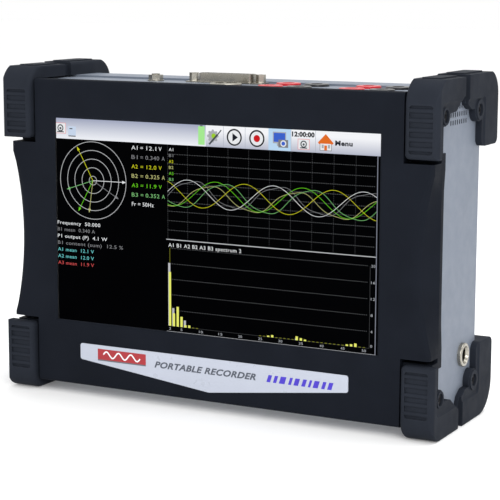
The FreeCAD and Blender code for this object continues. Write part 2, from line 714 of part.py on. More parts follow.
def power_button_spring():
    """Short coil under the cap."""
    pitch = 1.9
    turns = 3
    coil_r = 3.6
    wire_r = 0.3
    foot = BUTTON_PLACE - Z_DIR * (BUTTON_WELL - wire_r * 2)
    helix = Part.makeHelix(pitch, pitch * turns, coil_r)
    helix.translate(foot)
    profile = Part.Wire([Part.makeCircle(wire_r, foot + X_DIR * coil_r, Y_DIR)])
    return Part.Wire(helix.Edges).makePipeShell([profile], True, True)


def power_switch():
    """Sealed tactile switch under the button."""
    place = BUTTON_PLACE - Z_DIR * 18.6
    half = 4.5
    height = 3.6
    body = box((place.x - half, place.x + half), (place.y - half, place.y + half),
               (place.z, place.z + height))
    plunger = cylinder(place + Z_DIR * (height - 0.1), Z_DIR, 1.0, 0.4)
    return body.fuse(plunger).removeSplitter()


def ground_terminal():
    """Threaded post with a flange below its nut and a bore for a small pin plug."""
    place = TERMINAL_PLACE
    flange = cylinder(place + Z_DIR * SEAT_GAP, Z_DIR, TERMINAL_FLANGE_R, 0.9)
    below = 12.0
    post = cylinder(place - Z_DIR * below, Z_DIR, TERMINAL_R, below + TERMINAL_RISE)
    bore = cylinder(place - Z_DIR * TERMINAL_BORE_DEPTH, Z_DIR, TERMINAL_BORE_R, 20)
    return flange.fuse(post).cut(bore).removeSplitter()


def ground_terminal_nut():
    place = TERMINAL_PLACE + Z_DIR * 0.95
    nut = hex_prism(place, TERMINAL_NUT_FLATS, 3.0)
    return nut.cut(cylinder(place - Z_DIR, Z_DIR, TERMINAL_R + SEAT_GAP, 9))


def d_outline(width, height, slope, radius, centre):
    """The D shape seen from above: the side nearer the front is shorter."""
    half_w = width / 2
    half_h = height / 2
    return [(centre.x - half_w, centre.y + half_h, radius),
            (centre.x - half_w + slope, centre.y - half_h, radius),
            (centre.x + half_w - slope, centre.y - half_h, radius),
            (centre.x + half_w, centre.y + half_h, radius)]


def d_sub_screw_places():
    half = D_SUB_SCREW_PITCH / 2
    return [D_SUB_PLACE + X_DIR * half * side for side in (-1, 1)]


def d_sub_shell():
    """Steel flange and collar of a 25-way connector."""
    base = D_SUB_PLACE + Z_DIR * SEAT_GAP
    half_w = D_SUB_FLANGE_W / 2
    half_d = D_SUB_FLANGE_D / 2
    flange = prism_along_z(rounded_rectangle((base.x - half_w, base.x + half_w),
                                             (base.y - half_d, base.y + half_d), 1.0),
                           base.z, base.z + D_SUB_FLANGE_T)
    collar = prism_along_z(d_outline(D_SUB_W, D_SUB_D, D_SUB_SLOPE, 2.2, base),
                           base.z, base.z + D_SUB_RISE)
    wall = 0.5
    hollow = prism_along_z(d_outline(D_SUB_W - 2 * wall, D_SUB_D - 2 * wall, D_SUB_SLOPE,
                                     2.2 - wall, base), base.z - 1, base.z + 10)
    shell = flange.fuse(collar).cut(hollow)
    for centre in d_sub_screw_places():
        shell = shell.cut(cylinder(centre - Z_DIR * 2, Z_DIR, M3_CLEAR_R, 5))
    return shell.removeSplitter()


def d_sub_insulator():
    """Contact block with two rows of holes, thirteen and twelve."""
    base = D_SUB_PLACE + Z_DIR * SEAT_GAP
    inset = 1.1
    block = prism_along_z(d_outline(D_SUB_W - inset, D_SUB_D - inset, D_SUB_SLOPE, 1.65, base),
                          base.z - 7.0, base.z + D_SUB_RISE - 0.3)
    pitch = 2.76
    row_gap = 2.84
    for count, side in ((13, 1), (12, -1)):
        for number in range(count):
            x = base.x + (number - (count - 1) / 2) * pitch
            centre = V(x, base.y + side * row_gap / 2, base.z + D_SUB_RISE - 4.0)
            block = block.cut(cylinder(centre, Z_DIR, 0.6, 8))
    return block


def d_sub_jackscrews():
    """Hex standoffs each side of the connector, threaded for the plug's screws."""
    screws = []
    for centre in d_sub_screw_places():
        foot = centre + Z_DIR * (D_SUB_FLANGE_T + FIT_GAP)
        hexagon = hex_prism(foot, 5.2, 5.0)
        stud = cylinder(centre - Z_DIR * 6.0, Z_DIR, 1.4, 7.0)
        bore = cylinder(foot, Z_DIR, JACKSCREW_BORE_R, 8)
        screws.append(hexagon.fuse(stud).cut(bore).removeSplitter())
    return group(screws)


def legend_strip():
    """Thin printed label beside the earth post."""
    place = LEGEND_PLACE
    half_w = LEGEND_W / 2
    half_d = LEGEND_D / 2
    return prism_along_z(rounded_rectangle((place.x - half_w, place.x + half_w),
                                           (place.y - half_d, place.y + half_d), 0.8),
                         place.z + 0.01, place.z + 0.2)


# ---- power inlet on the right side ---------------------------------------------------
def dc_inlet():
    """Nickel ring and threaded barrel; the plug goes into the hollow round the pin."""
    centre = V(CASE_X, DC_JACK_Y, DC_JACK_Z)
    ring = cylinder(centre + X_DIR * SEAT_GAP, X_DIR, INLET_RING_R, INLET_RING_H)
    ring = round_edges(ring, 0.8, lambda e: in_plane(e, 0, CASE_X + SEAT_GAP + INLET_RING_H))
    barrel = cylinder(centre + X_DIR * SEAT_GAP, X_DIR * -1, DC_HOLE_R - 0.1, DC_BARREL_LENGTH)
    hollow = cylinder(centre - X_DIR * DC_HOLLOW_DEPTH, X_DIR, DC_HOLLOW_R, 20)
    mouth_x = CASE_X + SEAT_GAP + INLET_RING_H - DC_MOUTH_DEPTH
    mouth = Part.makeCone(DC_HOLLOW_R, DC_MOUTH_R, DC_MOUTH_DEPTH,
                          V(mouth_x, DC_JACK_Y, DC_JACK_Z), X_DIR)
    pin_hole = cylinder(centre - X_DIR * 16.0, X_DIR, DC_PIN_R + SEAT_GAP, 10)
    return ring.fuse(barrel).cut(hollow).cut(mouth).cut(pin_hole).removeSplitter()


def dc_inlet_pin():
    centre = V(CASE_X, DC_JACK_Y, DC_JACK_Z)
    pin = cylinder(centre - X_DIR * DC_PIN_LENGTH, X_DIR, DC_PIN_R, DC_PIN_LENGTH)
    return round_edges(pin, 0.5, lambda e: in_plane(e, 0, CASE_X))


def dc_inlet_nut():
    centre = V(CASE_X - SHEET - FIT_GAP, DC_JACK_Y, DC_JACK_Z)
    return tube(centre, X_DIR * -1, DC_HOLE_R + 2.0, DC_HOLE_R - 0.08, 2.5)


# ---- corner bumpers ------------------------------------------------------------------
def bumper_profile(legs, rounds, height_of):
    """Side view of a bumper. Heights are measured inwards from its outer face."""
    front_leg, rear_leg = legs
    front_round, rear_round = rounds
    leg_back = POCKET_FLOOR - FIT_GAP
    outline = [(FRONT_Y, front_leg, 2.5), (FRONT_Y, 0, front_round),
               (BACK_Y, 0, rear_round), (BACK_Y, rear_leg, 4.0),
               (23.0, rear_leg, 5.0), (23.0, 21.0, 0.0), (6.0, 21.4, 5.0), (-0.6, 17.8, 3.5),
               (-3.4, 12.4, 1.5), (-8.5, 12.6, 2.0), (-19.0, 20.6, 4.0), (-30.0, 21.4, 4.0),
               (leg_back, 22.0, 0.0), (leg_back, front_leg, 2.0)]
    return [(y, height_of(h), r) for y, h, r in outline]


def top_pad_cuts():
    """What is taken off the top so that two pads stand proud, the front one lower."""
    cuts = []
    halves = (((FRONT_Y - 1, GROOVE_Y[0]), (FRONT_Y + 13.0, GROOVE_Y[0] - 1.5), FRONT_DROP),
              ((GROOVE_Y[0], BACK_Y + 1), (GROOVE_Y[1] + 2.0, BACK_Y - 16.0), 0.0))
    for half_range, pad_range, drop in halves:
        slab = box((0, HALF_W + 1), half_range, (OVERALL_H - drop - PAD_H, OVERALL_H + 1))
        pad = prism_along_z(rounded_rectangle((BUMPER_X + 4.5, HALF_W - 4.5), pad_range, 2.0),
                            0, OVERALL_H - drop)
        cuts.append(slab.cut(pad))
    return cuts


def grip_ribs(first, height):
    """Shallow recess in the front of a leg with rounded ribs across it."""
    x_range = (BUMPER_X + 3.0, HALF_W - 3.8)
    last = first + (RIB_COUNT - 1) * RIB_PITCH
    z_range = sorted((height(first - 2.9), height(last + 2.9)))
    recess = prism_along_y(rounded_rectangle(x_range, z_range, 1.5),
                           FRONT_Y - 1, FRONT_Y + RIB_DEPTH)
    for number in range(RIB_COUNT):
        z = height(first + number * RIB_PITCH)
        rib = cylinder(V(x_range[0] - 1, FRONT_Y + RIB_R, z), X_DIR, RIB_R, BUMPER_WIDTH)
        recess = recess.cut(rib)
    return recess


def front_corner():
    """What is taken off to round the upright edge between a leg's front and outer side."""
    r = FRONT_CORNER_R
    corner = box((HALF_W - r, HALF_W + 1), (FRONT_Y - 1, FRONT_Y + r), (-1, OVERALL_H + 1))
    return corner.cut(cylinder(V(HALF_W - r, FRONT_Y + r, -1), Z_DIR, r, OVERALL_H + 2))


def bumper(is_top):
    """Right-hand bumper; the left-hand one is its mirror image."""
    if is_top:
        legs, rounds = BUMPER_TOP_LEGS, BUMPER_TOP_ROUNDS
        screw_depth, first_rib = SCREW_DEPTHS[0], FIRST_RIB[0]
    else:
        legs, rounds = BUMPER_LOW_LEGS, BUMPER_LOW_ROUNDS
        screw_depth, first_rib = SCREW_DEPTHS[1], FIRST_RIB[1]

    def height(h):
        return OVERALL_H - h if is_top else h

    block = prism_along_x(bumper_profile(legs, rounds, height), BUMPER_X, HALF_W)
    bosses = [cylinder(V(CASE_X - 1, y, height(screw_depth)), X_DIR, radius, HALF_W - CASE_X + 1)
              for y, radius in zip(SCREW_Y, BOSS_R)]
    block = fuse_all([block] + bosses)
    block = round_edges(block, 3.0, lambda e: in_plane(e, 0, BUMPER_X))
    block = round_edges(block, 0.8, lambda e: in_plane(e, 0, HALF_W)).cut(front_corner())
    # the middle of the outer side is stepped in, except round the screws
    z_range = sorted((height(13.5), height(60)))
    floor_x = HALF_W - SIDE_STEP
    step = prism_along_x(rounded_rectangle((POCKET_FLOOR - 4.0, 27.5), z_range, 4.0),
                         floor_x, floor_x + 6)
    step = round_edges(step, 3.5, lambda e: in_plane(e, 0, floor_x))
    for y, radius in zip(SCREW_Y, BOSS_R):
        step = step.cut(cylinder(V(0, y, height(screw_depth)), X_DIR, radius - 0.8, HALF_W + 5))
    block = block.cut(step)
    # the case and the back of the bezel fill the inside
    case_x = CASE_X + FIT_GAP
    bezel_x = BEZEL_X + FIT_GAP
    block = block.cut(box((0, case_x), (CASE_FRONT - 0.4, CASE_BACK + FIT_GAP),
                          (CASE_BOTTOM - FIT_GAP, CASE_TOP + FIT_GAP)))
    block = block.cut(box((0, bezel_x), (POCKET_FLOOR - FIT_GAP, SKIRT_END + FIT_GAP),
                          (BEZEL_BOTTOM - FIT_GAP, BEZEL_TOP + FIT_GAP)))
    # groove between the front and rear halves, across the outside and down both sides
    skin = GROOVE_DEPTH
    low, high = sorted((height(-1), height(skin)))
    block = block.cut(box((0, HALF_W + 1), GROOVE_Y, (low, high)))
    low, high = sorted((height(-1), height(26)))
    block = block.cut(box((HALF_W - skin, HALF_W + 1), GROOVE_Y, (low, high)))
    low, high = sorted((height(-1), height(OVERALL_H - CASE_TOP) if is_top else height(5.0)))
    block = block.cut(box((0, BUMPER_X + skin), GROOVE_Y, (low, high)))
    if is_top:
        for cut in top_pad_cuts():
            block = block.cut(cut)
    block = block.cut(grip_ribs(first_rib, height))
    # counterbored screw holes
    for y in SCREW_Y:
        centre = V(HALF_W, y, height(screw_depth))
        block = block.cut(cylinder(centre - X_DIR * SCREW_SEAT, X_DIR, SCREW_HEAD_R + 0.7, 6))
        block = block.cut(cylinder(centre - X_DIR * 8, X_DIR, SCREW_R + 0.1, 12))
    return block.removeSplitter()


def bumper_screw_places():
    places = []
    for side in (-1, 1):
        for z in (OVERALL_H - SCREW_DEPTHS[0], SCREW_DEPTHS[1]):
            for y in SCREW_Y:
                places.append(V(side * (HALF_W - SCREW_SEAT + FIT_GAP), y, z))
    return places


def bumper_screws():
    """Button-head screws, two in each bumper."""
    screws = []
    for centre in bumper_screw_places():
        out = X_DIR * (1 if centre.x > 0 else -1)
        screws.append(pan_head_screw(centre, out, SCREW_HEAD_R, 1.5, SCREW_R, 13.0, 1.5))
    return group(screws)


def bumper_nut_blocks():
    """Threaded blocks inside the case sides for the rear bumper screws.

    The front ones bite into the thick sides of the bezel.
    """
    blocks = []
    for centre in [place for place in bumper_screw_places() if place.y > 0]:
        side = 1 if centre.x > 0 else -1
        wall = side * (CASE_X - SHEET - FIT_GAP)
        x_range = sorted((wall, wall - side * 7.0))
        block = box(x_range, (centre.y - 4, centre.y + 4), (centre.z - 4, centre.z + 4))
        hole = cylinder(V(0, centre.y, centre.z), X_DIR * side, SCREW_R + SEAT_GAP, HALF_W)
        blocks.append(block.cut(hole))
    return group(blocks)


# ---- inside --------------------------------------------------------------------------
def main_board_holes():
    low_x, high_x = MAIN_BOARD_X
    low_z, high_z = MAIN_BOARD_Z
    return [V(x, MAIN_BOARD_Y, z) for x in (low_x + 6, high_x - 6)
            for z in (low_z + 6, high_z - 6)]


def main_board():
    board = box(MAIN_BOARD_X, (MAIN_BOARD_Y, MAIN_BOARD_Y + BOARD_T), MAIN_BOARD_Z)
    for centre in main_board_holes():
        board = board.cut(cylinder(centre - Y_DIR, Y_DIR, M3_CLEAR_R, 5))
    return board


def main_board_chips():
    """Processor, memory and converters on the board's rear face."""
    y = MAIN_BOARD_Y + BOARD_T + SEAT_GAP
    chips = [box((-14, 14), (y, y + 2.2), (120, 148))]
    for number in range(4):
        x = 28 + number * 16
        chips.append(box((x, x + 11), (y, y + 1.4), (128, 140)))
    for number in range(6):
        x = -90 + number * 28
        chips.append(box((x, x + 16), (y, y + 2.0), (60, 70)))
    for number in range(4):
        chips.append(cylinder(V(-86 + number * 14, y, 146), Y_DIR, 4.5, 9.0))
    return group(chips)


def heat_sink():
    """Finned block on the processor."""
    y = MAIN_BOARD_Y + BOARD_T + 2.25
    base = box((-18, 18), (y, y + 2.0), (116, 152))
    fins = [box((-18 + number * 4.25, -16 + number * 4.25), (y + 1.9, y + 11.0), (116, 152))
            for number in range(9)]
    return fuse_all([base] + fins)


def board_standoffs():
    """Brass spacers from the display bracket's plane back to the main board."""
    front = LCD_BACK + BRACKET_T + 0.15
    posts = []
    for centre in main_board_holes():
        posts.append(tube(V(centre.x, front, centre.z), Y_DIR, 3.0, 1.4, MAIN_BOARD_Y - front - 0.02))
    return group(posts)


def board_screws():
    return group([pan_head_screw(V(c.x, MAIN_BOARD_Y + BOARD_T + SEAT_GAP, c.z), Y_DIR,
                                 2.7, 1.8, 1.38, 7.0, 1.2) for c in main_board_holes()])


def input_board():
    """Measuring board hung under the sockets and connectors."""
    z = INPUT_BOARD_Z
    board = box((-72, 118), (-28.5, 12), (z, z + BOARD_T))
    for place in socket_places(0) + socket_places(SOCKET_PAIR):
        board = board.cut(cylinder(V(place.x, place.y, z - 1), Z_DIR, 1.1, 5))
    return board


def input_shields():
    """Four tinned cans under the board, one for each pair of channels."""
    z = INPUT_BOARD_Z
    cans = []
    for number in range(4):
        x = -60 + number * 44
        can = box((x, x + 34), (-8, 10), (z - 9.0, z - SEAT_GAP))
        cans.append(can.cut(box((x + 0.5, x + 33.5), (-7.5, 9.5), (z - 8.5, z))))
    return group(cans)


def display_cable():
    """Flat flexible cable from the display round to the main board."""
    thick = 0.3
    bend = 2.0
    front = LCD_BACK + BRACKET_T + 0.65
    rear = MAIN_BOARD_Y + BOARD_T + 3.2
    low = MAIN_BOARD_Z[0] - 6
    outer = [(front, 52, 0), (front, low, bend), (rear, low, bend), (rear, 44, 0)]
    inner = [(front + thick, 62, 0), (front + thick, low + thick, bend - thick),
             (rear - thick, low + thick, bend - thick), (rear - thick, 62, 0)]
    return prism_along_x(outer, 34, 62).cut(prism_along_x(inner, 30, 66))


# ---- battery -------------------------------------------------------------------------
def pack_screw_places():
    x = PACK_HALF_W - 8.0
    z = (PACK_LOW + PACK_HIGH) / 2
    return [V(side * x, CASE_BACK, z) for side in (-1, 1)]


def battery_case():
    """Removable pack; its outer wall closes the opening in the back plate."""
    y_back = CASE_BACK - 0.2
    corners = rounded_rectangle((-PACK_HALF_W, PACK_HALF_W), (PACK_LOW, PACK_HIGH), 2.5)
    body = prism_along_y(corners, PACK_FRONT, y_back)
    inner_x = PACK_HALF_W - PACK_END
    hollow = box((-inner_x, inner_x), (PACK_FRONT + PACK_WALL, y_back - PACK_FACE_T),
                 (PACK_LOW + PACK_WALL, PACK_HIGH - PACK_WALL))
    body = body.cut(hollow)
    for centre in pack_screw_places():
        body = body.cut(cylinder(centre - Y_DIR * 30, Y_DIR, PACK_SCREW_R + 0.15, 60))
        body = body.cut(cylinder(centre - Y_DIR * 2.4, Y_DIR, PACK_SCREW_HEAD_R + 0.3, 10))
    # finger notch at the upper edge
    notch = cylinder(V(0, CASE_BACK + 4.0, PACK_HIGH - 8), X_DIR, 7.0, 24)
    notch.translate(X_DIR * -12)
    return body.cut(notch).removeSplitter()


def battery_cells():
    """Flat lithium cells side by side inside the pack."""
    cells = []
    gap = 0.4
    start = -PACK_HALF_W + PACK_END
    pitch = -2 * start / CELL_COUNT
    front = PACK_FRONT + PACK_WALL + gap
    back = CASE_BACK - PACK_FACE_T - 1.2
    low = PACK_LOW + PACK_WALL + gap
    for number in range(CELL_COUNT):
        x = start + number * pitch
        corners = rounded_rectangle((x + gap, x + pitch - gap), (low, PACK_HIGH - 18.0), 2.0)
        cells.append(prism_along_y(corners, front, back))
    return group(cells)


def battery_screws():
    """Captive slotted screws that hold the pack in."""
    screws = []
    for centre in pack_screw_places():
        seat = centre - Y_DIR * 2.35
        head = cylinder(seat, Y_DIR, PACK_SCREW_HEAD_R, 2.2)
        shank = cylinder(seat + Y_DIR * 0.01, Y_DIR * -1, PACK_SCREW_R, 26.0)
        slot = box((centre.x - 0.6, centre.x + 0.6), (CASE_BACK - 1.2, CASE_BACK + 2),
                   (centre.z - 5, centre.z + 5))
        screws.append(head.fuse(shank).cut(slot).removeSplitter())
    return group(screws)


def battery_bay():
    """Plastic tray inside the case that guides the pack and carries its contacts."""
    gap = MOVE_GAP + 0.1
    wall = 2.0
    outer = box((-PACK_HALF_W - gap - wall, PACK_HALF_W + gap + wall),
                (PACK_FRONT - 1.0 - wall, COVER_FRONT - 0.1),
                (PACK_LOW - gap - wall, PACK_HIGH + gap + wall))
    inner = box((-PACK_HALF_W - gap, PACK_HALF_W + gap), (PACK_FRONT - 1.0, 40),
                (PACK_LOW - gap, PACK_HIGH + gap))
    tray = outer.cut(inner)
    for centre in pack_screw_places():
        tray = tray.cut(cylinder(V(centre.x, 0, centre.z), Y_DIR, PACK_SCREW_R + 0.15, 20))
    return tray


def battery_contacts():
    """Four sprung blades on the tray's floor."""
    blades = []
    for number in range(4):
        x = -9 + number * 6
        blades.append(box((x - 1, x + 1), (PACK_FRONT - 0.98, PACK_FRONT - 0.35), (52, 60)))
    return group(blades)


# ---- tilt stand ----------------------------------------------------------------------
def tilt_stand():
    """U-shaped leg hinged at its upper ends and folded flat behind the case."""
    low_y = STAND_PIVOT_Y - STAND_T / 2
    high_y = STAND_PIVOT_Y + STAND_T / 2
    top = STAND_PIVOT_Z + STAND_KNUCKLE_R
    outer = rounded_rectangle((-STAND_HALF_W, STAND_HALF_W), (STAND_LOW, top), 4.0)
    frame = prism_along_y(outer, low_y, high_y)
    inner_x = STAND_HALF_W - STAND_LEG
    inner = [(-inner_x, STAND_LOW + 22, 8.0), (inner_x, STAND_LOW + 22, 8.0),
             (inner_x, top + 20, 1.0), (-inner_x, top + 20, 1.0)]
    frame = frame.cut(prism_along_y(inner, low_y - 1, high_y + 1))
    for side in (-1, 1):
        knuckle = cylinder(V(side * STAND_HALF_W, STAND_PIVOT_Y, STAND_PIVOT_Z),
                           X_DIR * -side, STAND_KNUCKLE_R, STAND_LEG)
        above = box(sorted((side * STAND_HALF_W, side * (STAND_HALF_W - STAND_LEG))),
                    (low_y - 1, high_y + 1), (STAND_PIVOT_Z, top + 1))
        frame = frame.cut(above).fuse(knuckle)
    bore_r = STAND_PIN_R + 0.05
    frame = frame.cut(cylinder(V(-HALF_W, STAND_PIVOT_Y, STAND_PIVOT_Z), X_DIR, bore_r, OVERALL_W))
    # shallow grip recess in the foot bar
    frame = frame.cut(prism_along_y(rounded_rectangle((-22, 22), (STAND_LOW + 6, STAND_LOW + 16), 4.9),
                                    high_y - 1.2, high_y + 1))
    return frame.removeSplitter()


def stand_ear_ranges(side):
    """The two ears that hold one knuckle, as x ranges."""
    outer = side * (STAND_HALF_W + MOVE_GAP)
    inner = side * (STAND_HALF_W - STAND_LEG - MOVE_GAP)
    return [sorted((outer, outer + side * STAND_EAR_T)),
            sorted((inner, inner - side * STAND_EAR_T))]


def stand_brackets():
    """Two bearing blocks on the back plate, each with a pair of ears."""
    brackets = []
    for side in (-1, 1):
        ranges = stand_ear_ranges(side)
        whole = (min(r[0] for r in ranges), max(r[1] for r in ranges))
        base = box(whole, (CASE_BACK + SEAT_GAP, CASE_BACK + 2.5),
                   (STAND_PIVOT_Z - 7.0, STAND_PIVOT_Z + 7.0))
        bracket = base
        for x_range in ranges:
            ear = prism_along_x([(CASE_BACK + 1.0, STAND_PIVOT_Z - 6.8, 0.5),
                                 (STAND_PIVOT_Y + STAND_KNUCKLE_R, STAND_PIVOT_Z - 5.0, 4.0),
                                 (STAND_PIVOT_Y + STAND_KNUCKLE_R, STAND_PIVOT_Z + 5.0, 4.0),
                                 (CASE_BACK + 1.0, STAND_PIVOT_Z + 6.8, 0.5)],
                                x_range[0], x_range[1])
            bracket = bracket.fuse(ear)
        hole = cylinder(V(-HALF_W, STAND_PIVOT_Y, STAND_PIVOT_Z), X_DIR, STAND_PIN_R + 0.01, OVERALL_W)
        bracket = bracket.cut(hole)
        centre = [c for c in stand_bracket_screw_places() if c.x * side > 0][0]
        bracket = bracket.cut(cylinder(centre - Y_DIR, Y_DIR, M3_CLEAR_R, 10))
        brackets.append(bracket.removeSplitter())
    return group(brackets)


def stand_bracket_screw_places():
    x = STAND_HALF_W - STAND_LEG / 2
    return [V(side * x, CASE_BACK, STAND_PIVOT_Z) for side in (-1, 1)]


def stand_bracket_screws():
    """Countersunk from inside the case, one in each bearing block."""
    screws = []
    for centre in stand_bracket_screw_places():
        head_y = COVER_FRONT - SEAT_GAP
        head = cylinder(V(centre.x, head_y, centre.z), Y_DIR * -1, 2.8, 1.8)
        shank = cylinder(V(centre.x, head_y - 0.1, centre.z), Y_DIR, M3_R, 4.4)
        screws.append(head.fuse(shank).removeSplitter())
    return group(screws)


def stand_pins():
    pins = []
    for side in (-1, 1):
        ranges = stand_ear_ranges(side)
        low = min(r[0] for r in ranges)
        high = max(r[1] for r in ranges)
        pins.append(cylinder(V(low, STAND_PIVOT_Y, STAND_PIVOT_Z), X_DIR, STAND_PIN_R, high - low))
    return group(pins)


# ---- everything ----------------------------------------------------------------------
def main():
    os.makedirs("parts", exist_ok=True)
    save("front_bezel", front_bezel())
    save("bezel_screws", bezel_screws())
    save("touch_glass", touch_glass())
    save("screen_gasket", screen_gasket())
    save("lcd_panel", lcd_panel())
    save("display_bracket", display_bracket())
    save("bracket_screws", bracket_screws())
    save("label_plate", label_plate())
    save("case_shell", case_shell())
    save("rear_cover", rear_cover())
    save("rear_cover_screws", rear_cover_screws())
    save("cover_bosses", cover_bosses())
    save("top_panel", top_panel())
    save("red_sockets", socket_bodies(0))
    save("black_sockets", socket_bodies(SOCKET_PAIR))
    save("socket_contacts", socket_contacts())
    save("socket_nuts", socket_nuts())
    save("power_button_ring", power_button_ring())
    save("power_button_cap", power_button_cap())
    save("power_button_spring", power_button_spring())
    save("power_switch", power_switch())
    save("ground_terminal", ground_terminal())
    save("ground_terminal_nut", ground_terminal_nut())
    save("d_sub_shell", d_sub_shell())
    save("d_sub_insulator", d_sub_insulator())
    save("d_sub_jackscrews", d_sub_jackscrews())
    save("legend_strip", legend_strip())
    save("dc_inlet", dc_inlet())
    save("dc_inlet_pin", dc_inlet_pin())
    save("dc_inlet_nut", dc_inlet_nut())
    for name, is_top in (("top", True), ("bottom", False)):
        right = bumper(is_top)
        save("bumper_" + name + "_right", right)
        save("bumper_" + name + "_left", mirrored_x(right))
    save("bumper_screws", bumper_screws())
    save("bumper_nut_blocks", bumper_nut_blocks())
    save("main_board", main_board())
    save("main_board_chips", main_board_chips())
    save("heat_sink", heat_sink())
    save("board_standoffs", board_standoffs())
    save("board_screws", board_screws())
    save("input_board", input_board())
    save("input_shields", input_shields())
    save("display_cable", display_cable())
    save("battery_case", battery_case())
    save("battery_cells", battery_cells())
    save("battery_screws", battery_screws())
    save("battery_bay", battery_bay())
    save("battery_contacts", battery_contacts())
    save("tilt_stand", tilt_stand())
    save("stand_brackets", stand_brackets())
    save("stand_bracket_screws", stand_bracket_screws())
    save("stand_pins", stand_pins())


main()
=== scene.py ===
# Looks of the portable multichannel recorder: materials, screen picture, label, light, camera.
# Metres, in the frame of the CAD model: +X to the right seen from the front, +Y back, +Z up.

import json
import math

import bpy
from mathutils import Matrix, Vector


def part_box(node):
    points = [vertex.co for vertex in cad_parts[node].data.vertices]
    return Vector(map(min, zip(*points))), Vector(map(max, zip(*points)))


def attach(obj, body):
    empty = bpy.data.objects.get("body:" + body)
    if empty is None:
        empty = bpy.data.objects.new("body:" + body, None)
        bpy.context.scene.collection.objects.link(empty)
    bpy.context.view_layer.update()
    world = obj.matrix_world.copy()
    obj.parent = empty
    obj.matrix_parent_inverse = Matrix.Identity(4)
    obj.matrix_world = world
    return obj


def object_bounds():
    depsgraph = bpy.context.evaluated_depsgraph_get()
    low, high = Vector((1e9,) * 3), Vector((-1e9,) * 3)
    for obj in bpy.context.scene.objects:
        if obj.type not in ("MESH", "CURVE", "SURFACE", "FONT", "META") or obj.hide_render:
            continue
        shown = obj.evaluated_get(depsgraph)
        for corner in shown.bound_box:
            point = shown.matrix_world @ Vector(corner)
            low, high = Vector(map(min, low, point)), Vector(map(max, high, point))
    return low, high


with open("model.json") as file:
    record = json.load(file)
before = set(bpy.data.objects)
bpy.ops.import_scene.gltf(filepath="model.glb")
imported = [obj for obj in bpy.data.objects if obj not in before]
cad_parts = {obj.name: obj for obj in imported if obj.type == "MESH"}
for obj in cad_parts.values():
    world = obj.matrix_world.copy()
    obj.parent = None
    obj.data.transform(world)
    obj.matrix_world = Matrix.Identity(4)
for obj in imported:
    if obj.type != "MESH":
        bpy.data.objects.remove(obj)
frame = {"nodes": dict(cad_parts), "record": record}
cad_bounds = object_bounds()

MM = 0.001
BODY = "instrument"


# ---- materials ------------------------------------------------------------------------
MOTTLE_SCALE = 35.0           # cells per metre of the broad patches of colour
GLOSS_SCALE = 120.0           # of the patches of gloss
WEAR_SCALE = 300.0            # of the patches that the edge wear breaks into
PICTURE_ELEMENT = 0.000217    # pitch of the display's picture elements


def node_tree(name):
    material = bpy.data.materials.new(name)
    material.use_nodes = True
    tree = material.node_tree
    return material, tree, tree.nodes["Principled BSDF"]


def noise(tree, scale, detail=3.0, roughness=0.55, stretch=(1, 1, 1)):
    """Noise texture in object space; scale is in cells per metre."""
    coords = tree.nodes.new("ShaderNodeTexCoord")
    mapping = tree.nodes.new("ShaderNodeMapping")
    mapping.inputs["Scale"].default_value = stretch
    texture = tree.nodes.new("ShaderNodeTexNoise")
    texture.inputs["Scale"].default_value = scale
    texture.inputs["Detail"].default_value = detail
    texture.inputs["Roughness"].default_value = roughness
    tree.links.new(coords.outputs["Object"], mapping.inputs["Vector"])
    tree.links.new(mapping.outputs["Vector"], texture.inputs["Vector"])
    return texture.outputs["Fac"]


def map_range(tree, value, low, high, from_low=0.3, from_high=0.7):
    node = tree.nodes.new("ShaderNodeMapRange")
    node.inputs["From Min"].default_value = from_low
    node.inputs["From Max"].default_value = from_high
    node.inputs["To Min"].default_value = low
    node.inputs["To Max"].default_value = high
    tree.links.new(value, node.inputs["Value"])
    return node.outputs["Result"]


def mix_colour(tree, factor, first, second):
    node = tree.nodes.new("ShaderNodeMix")
    node.data_type = "RGBA"
    for socket, colour in ((node.inputs["A"], first), (node.inputs["B"], second)):
        if isinstance(colour, bpy.types.NodeSocket):
            tree.links.new(colour, socket)
        else:
            socket.default_value = (*colour, 1.0)
    tree.links.new(factor, node.inputs["Factor"])
    return node.outputs["Result"]


def edge_mask(tree, radius, strength):
    """0 on flat stretches, up to 1 along edges sharper than the radius."""
    bevel = tree.nodes.new("ShaderNodeBevel")
    bevel.samples = 4
    bevel.inputs["Radius"].default_value = radius
    geometry = tree.nodes.new("ShaderNodeNewGeometry")
    dot = tree.nodes.new("ShaderNodeVectorMath")
    dot.operation = "DOT_PRODUCT"
    tree.links.new(bevel.outputs["Normal"], dot.inputs[0])
    tree.links.new(geometry.outputs["Normal"], dot.inputs[1])
    return map_range(tree, dot.outputs["Value"], strength, 0.0, 0.75, 0.98)


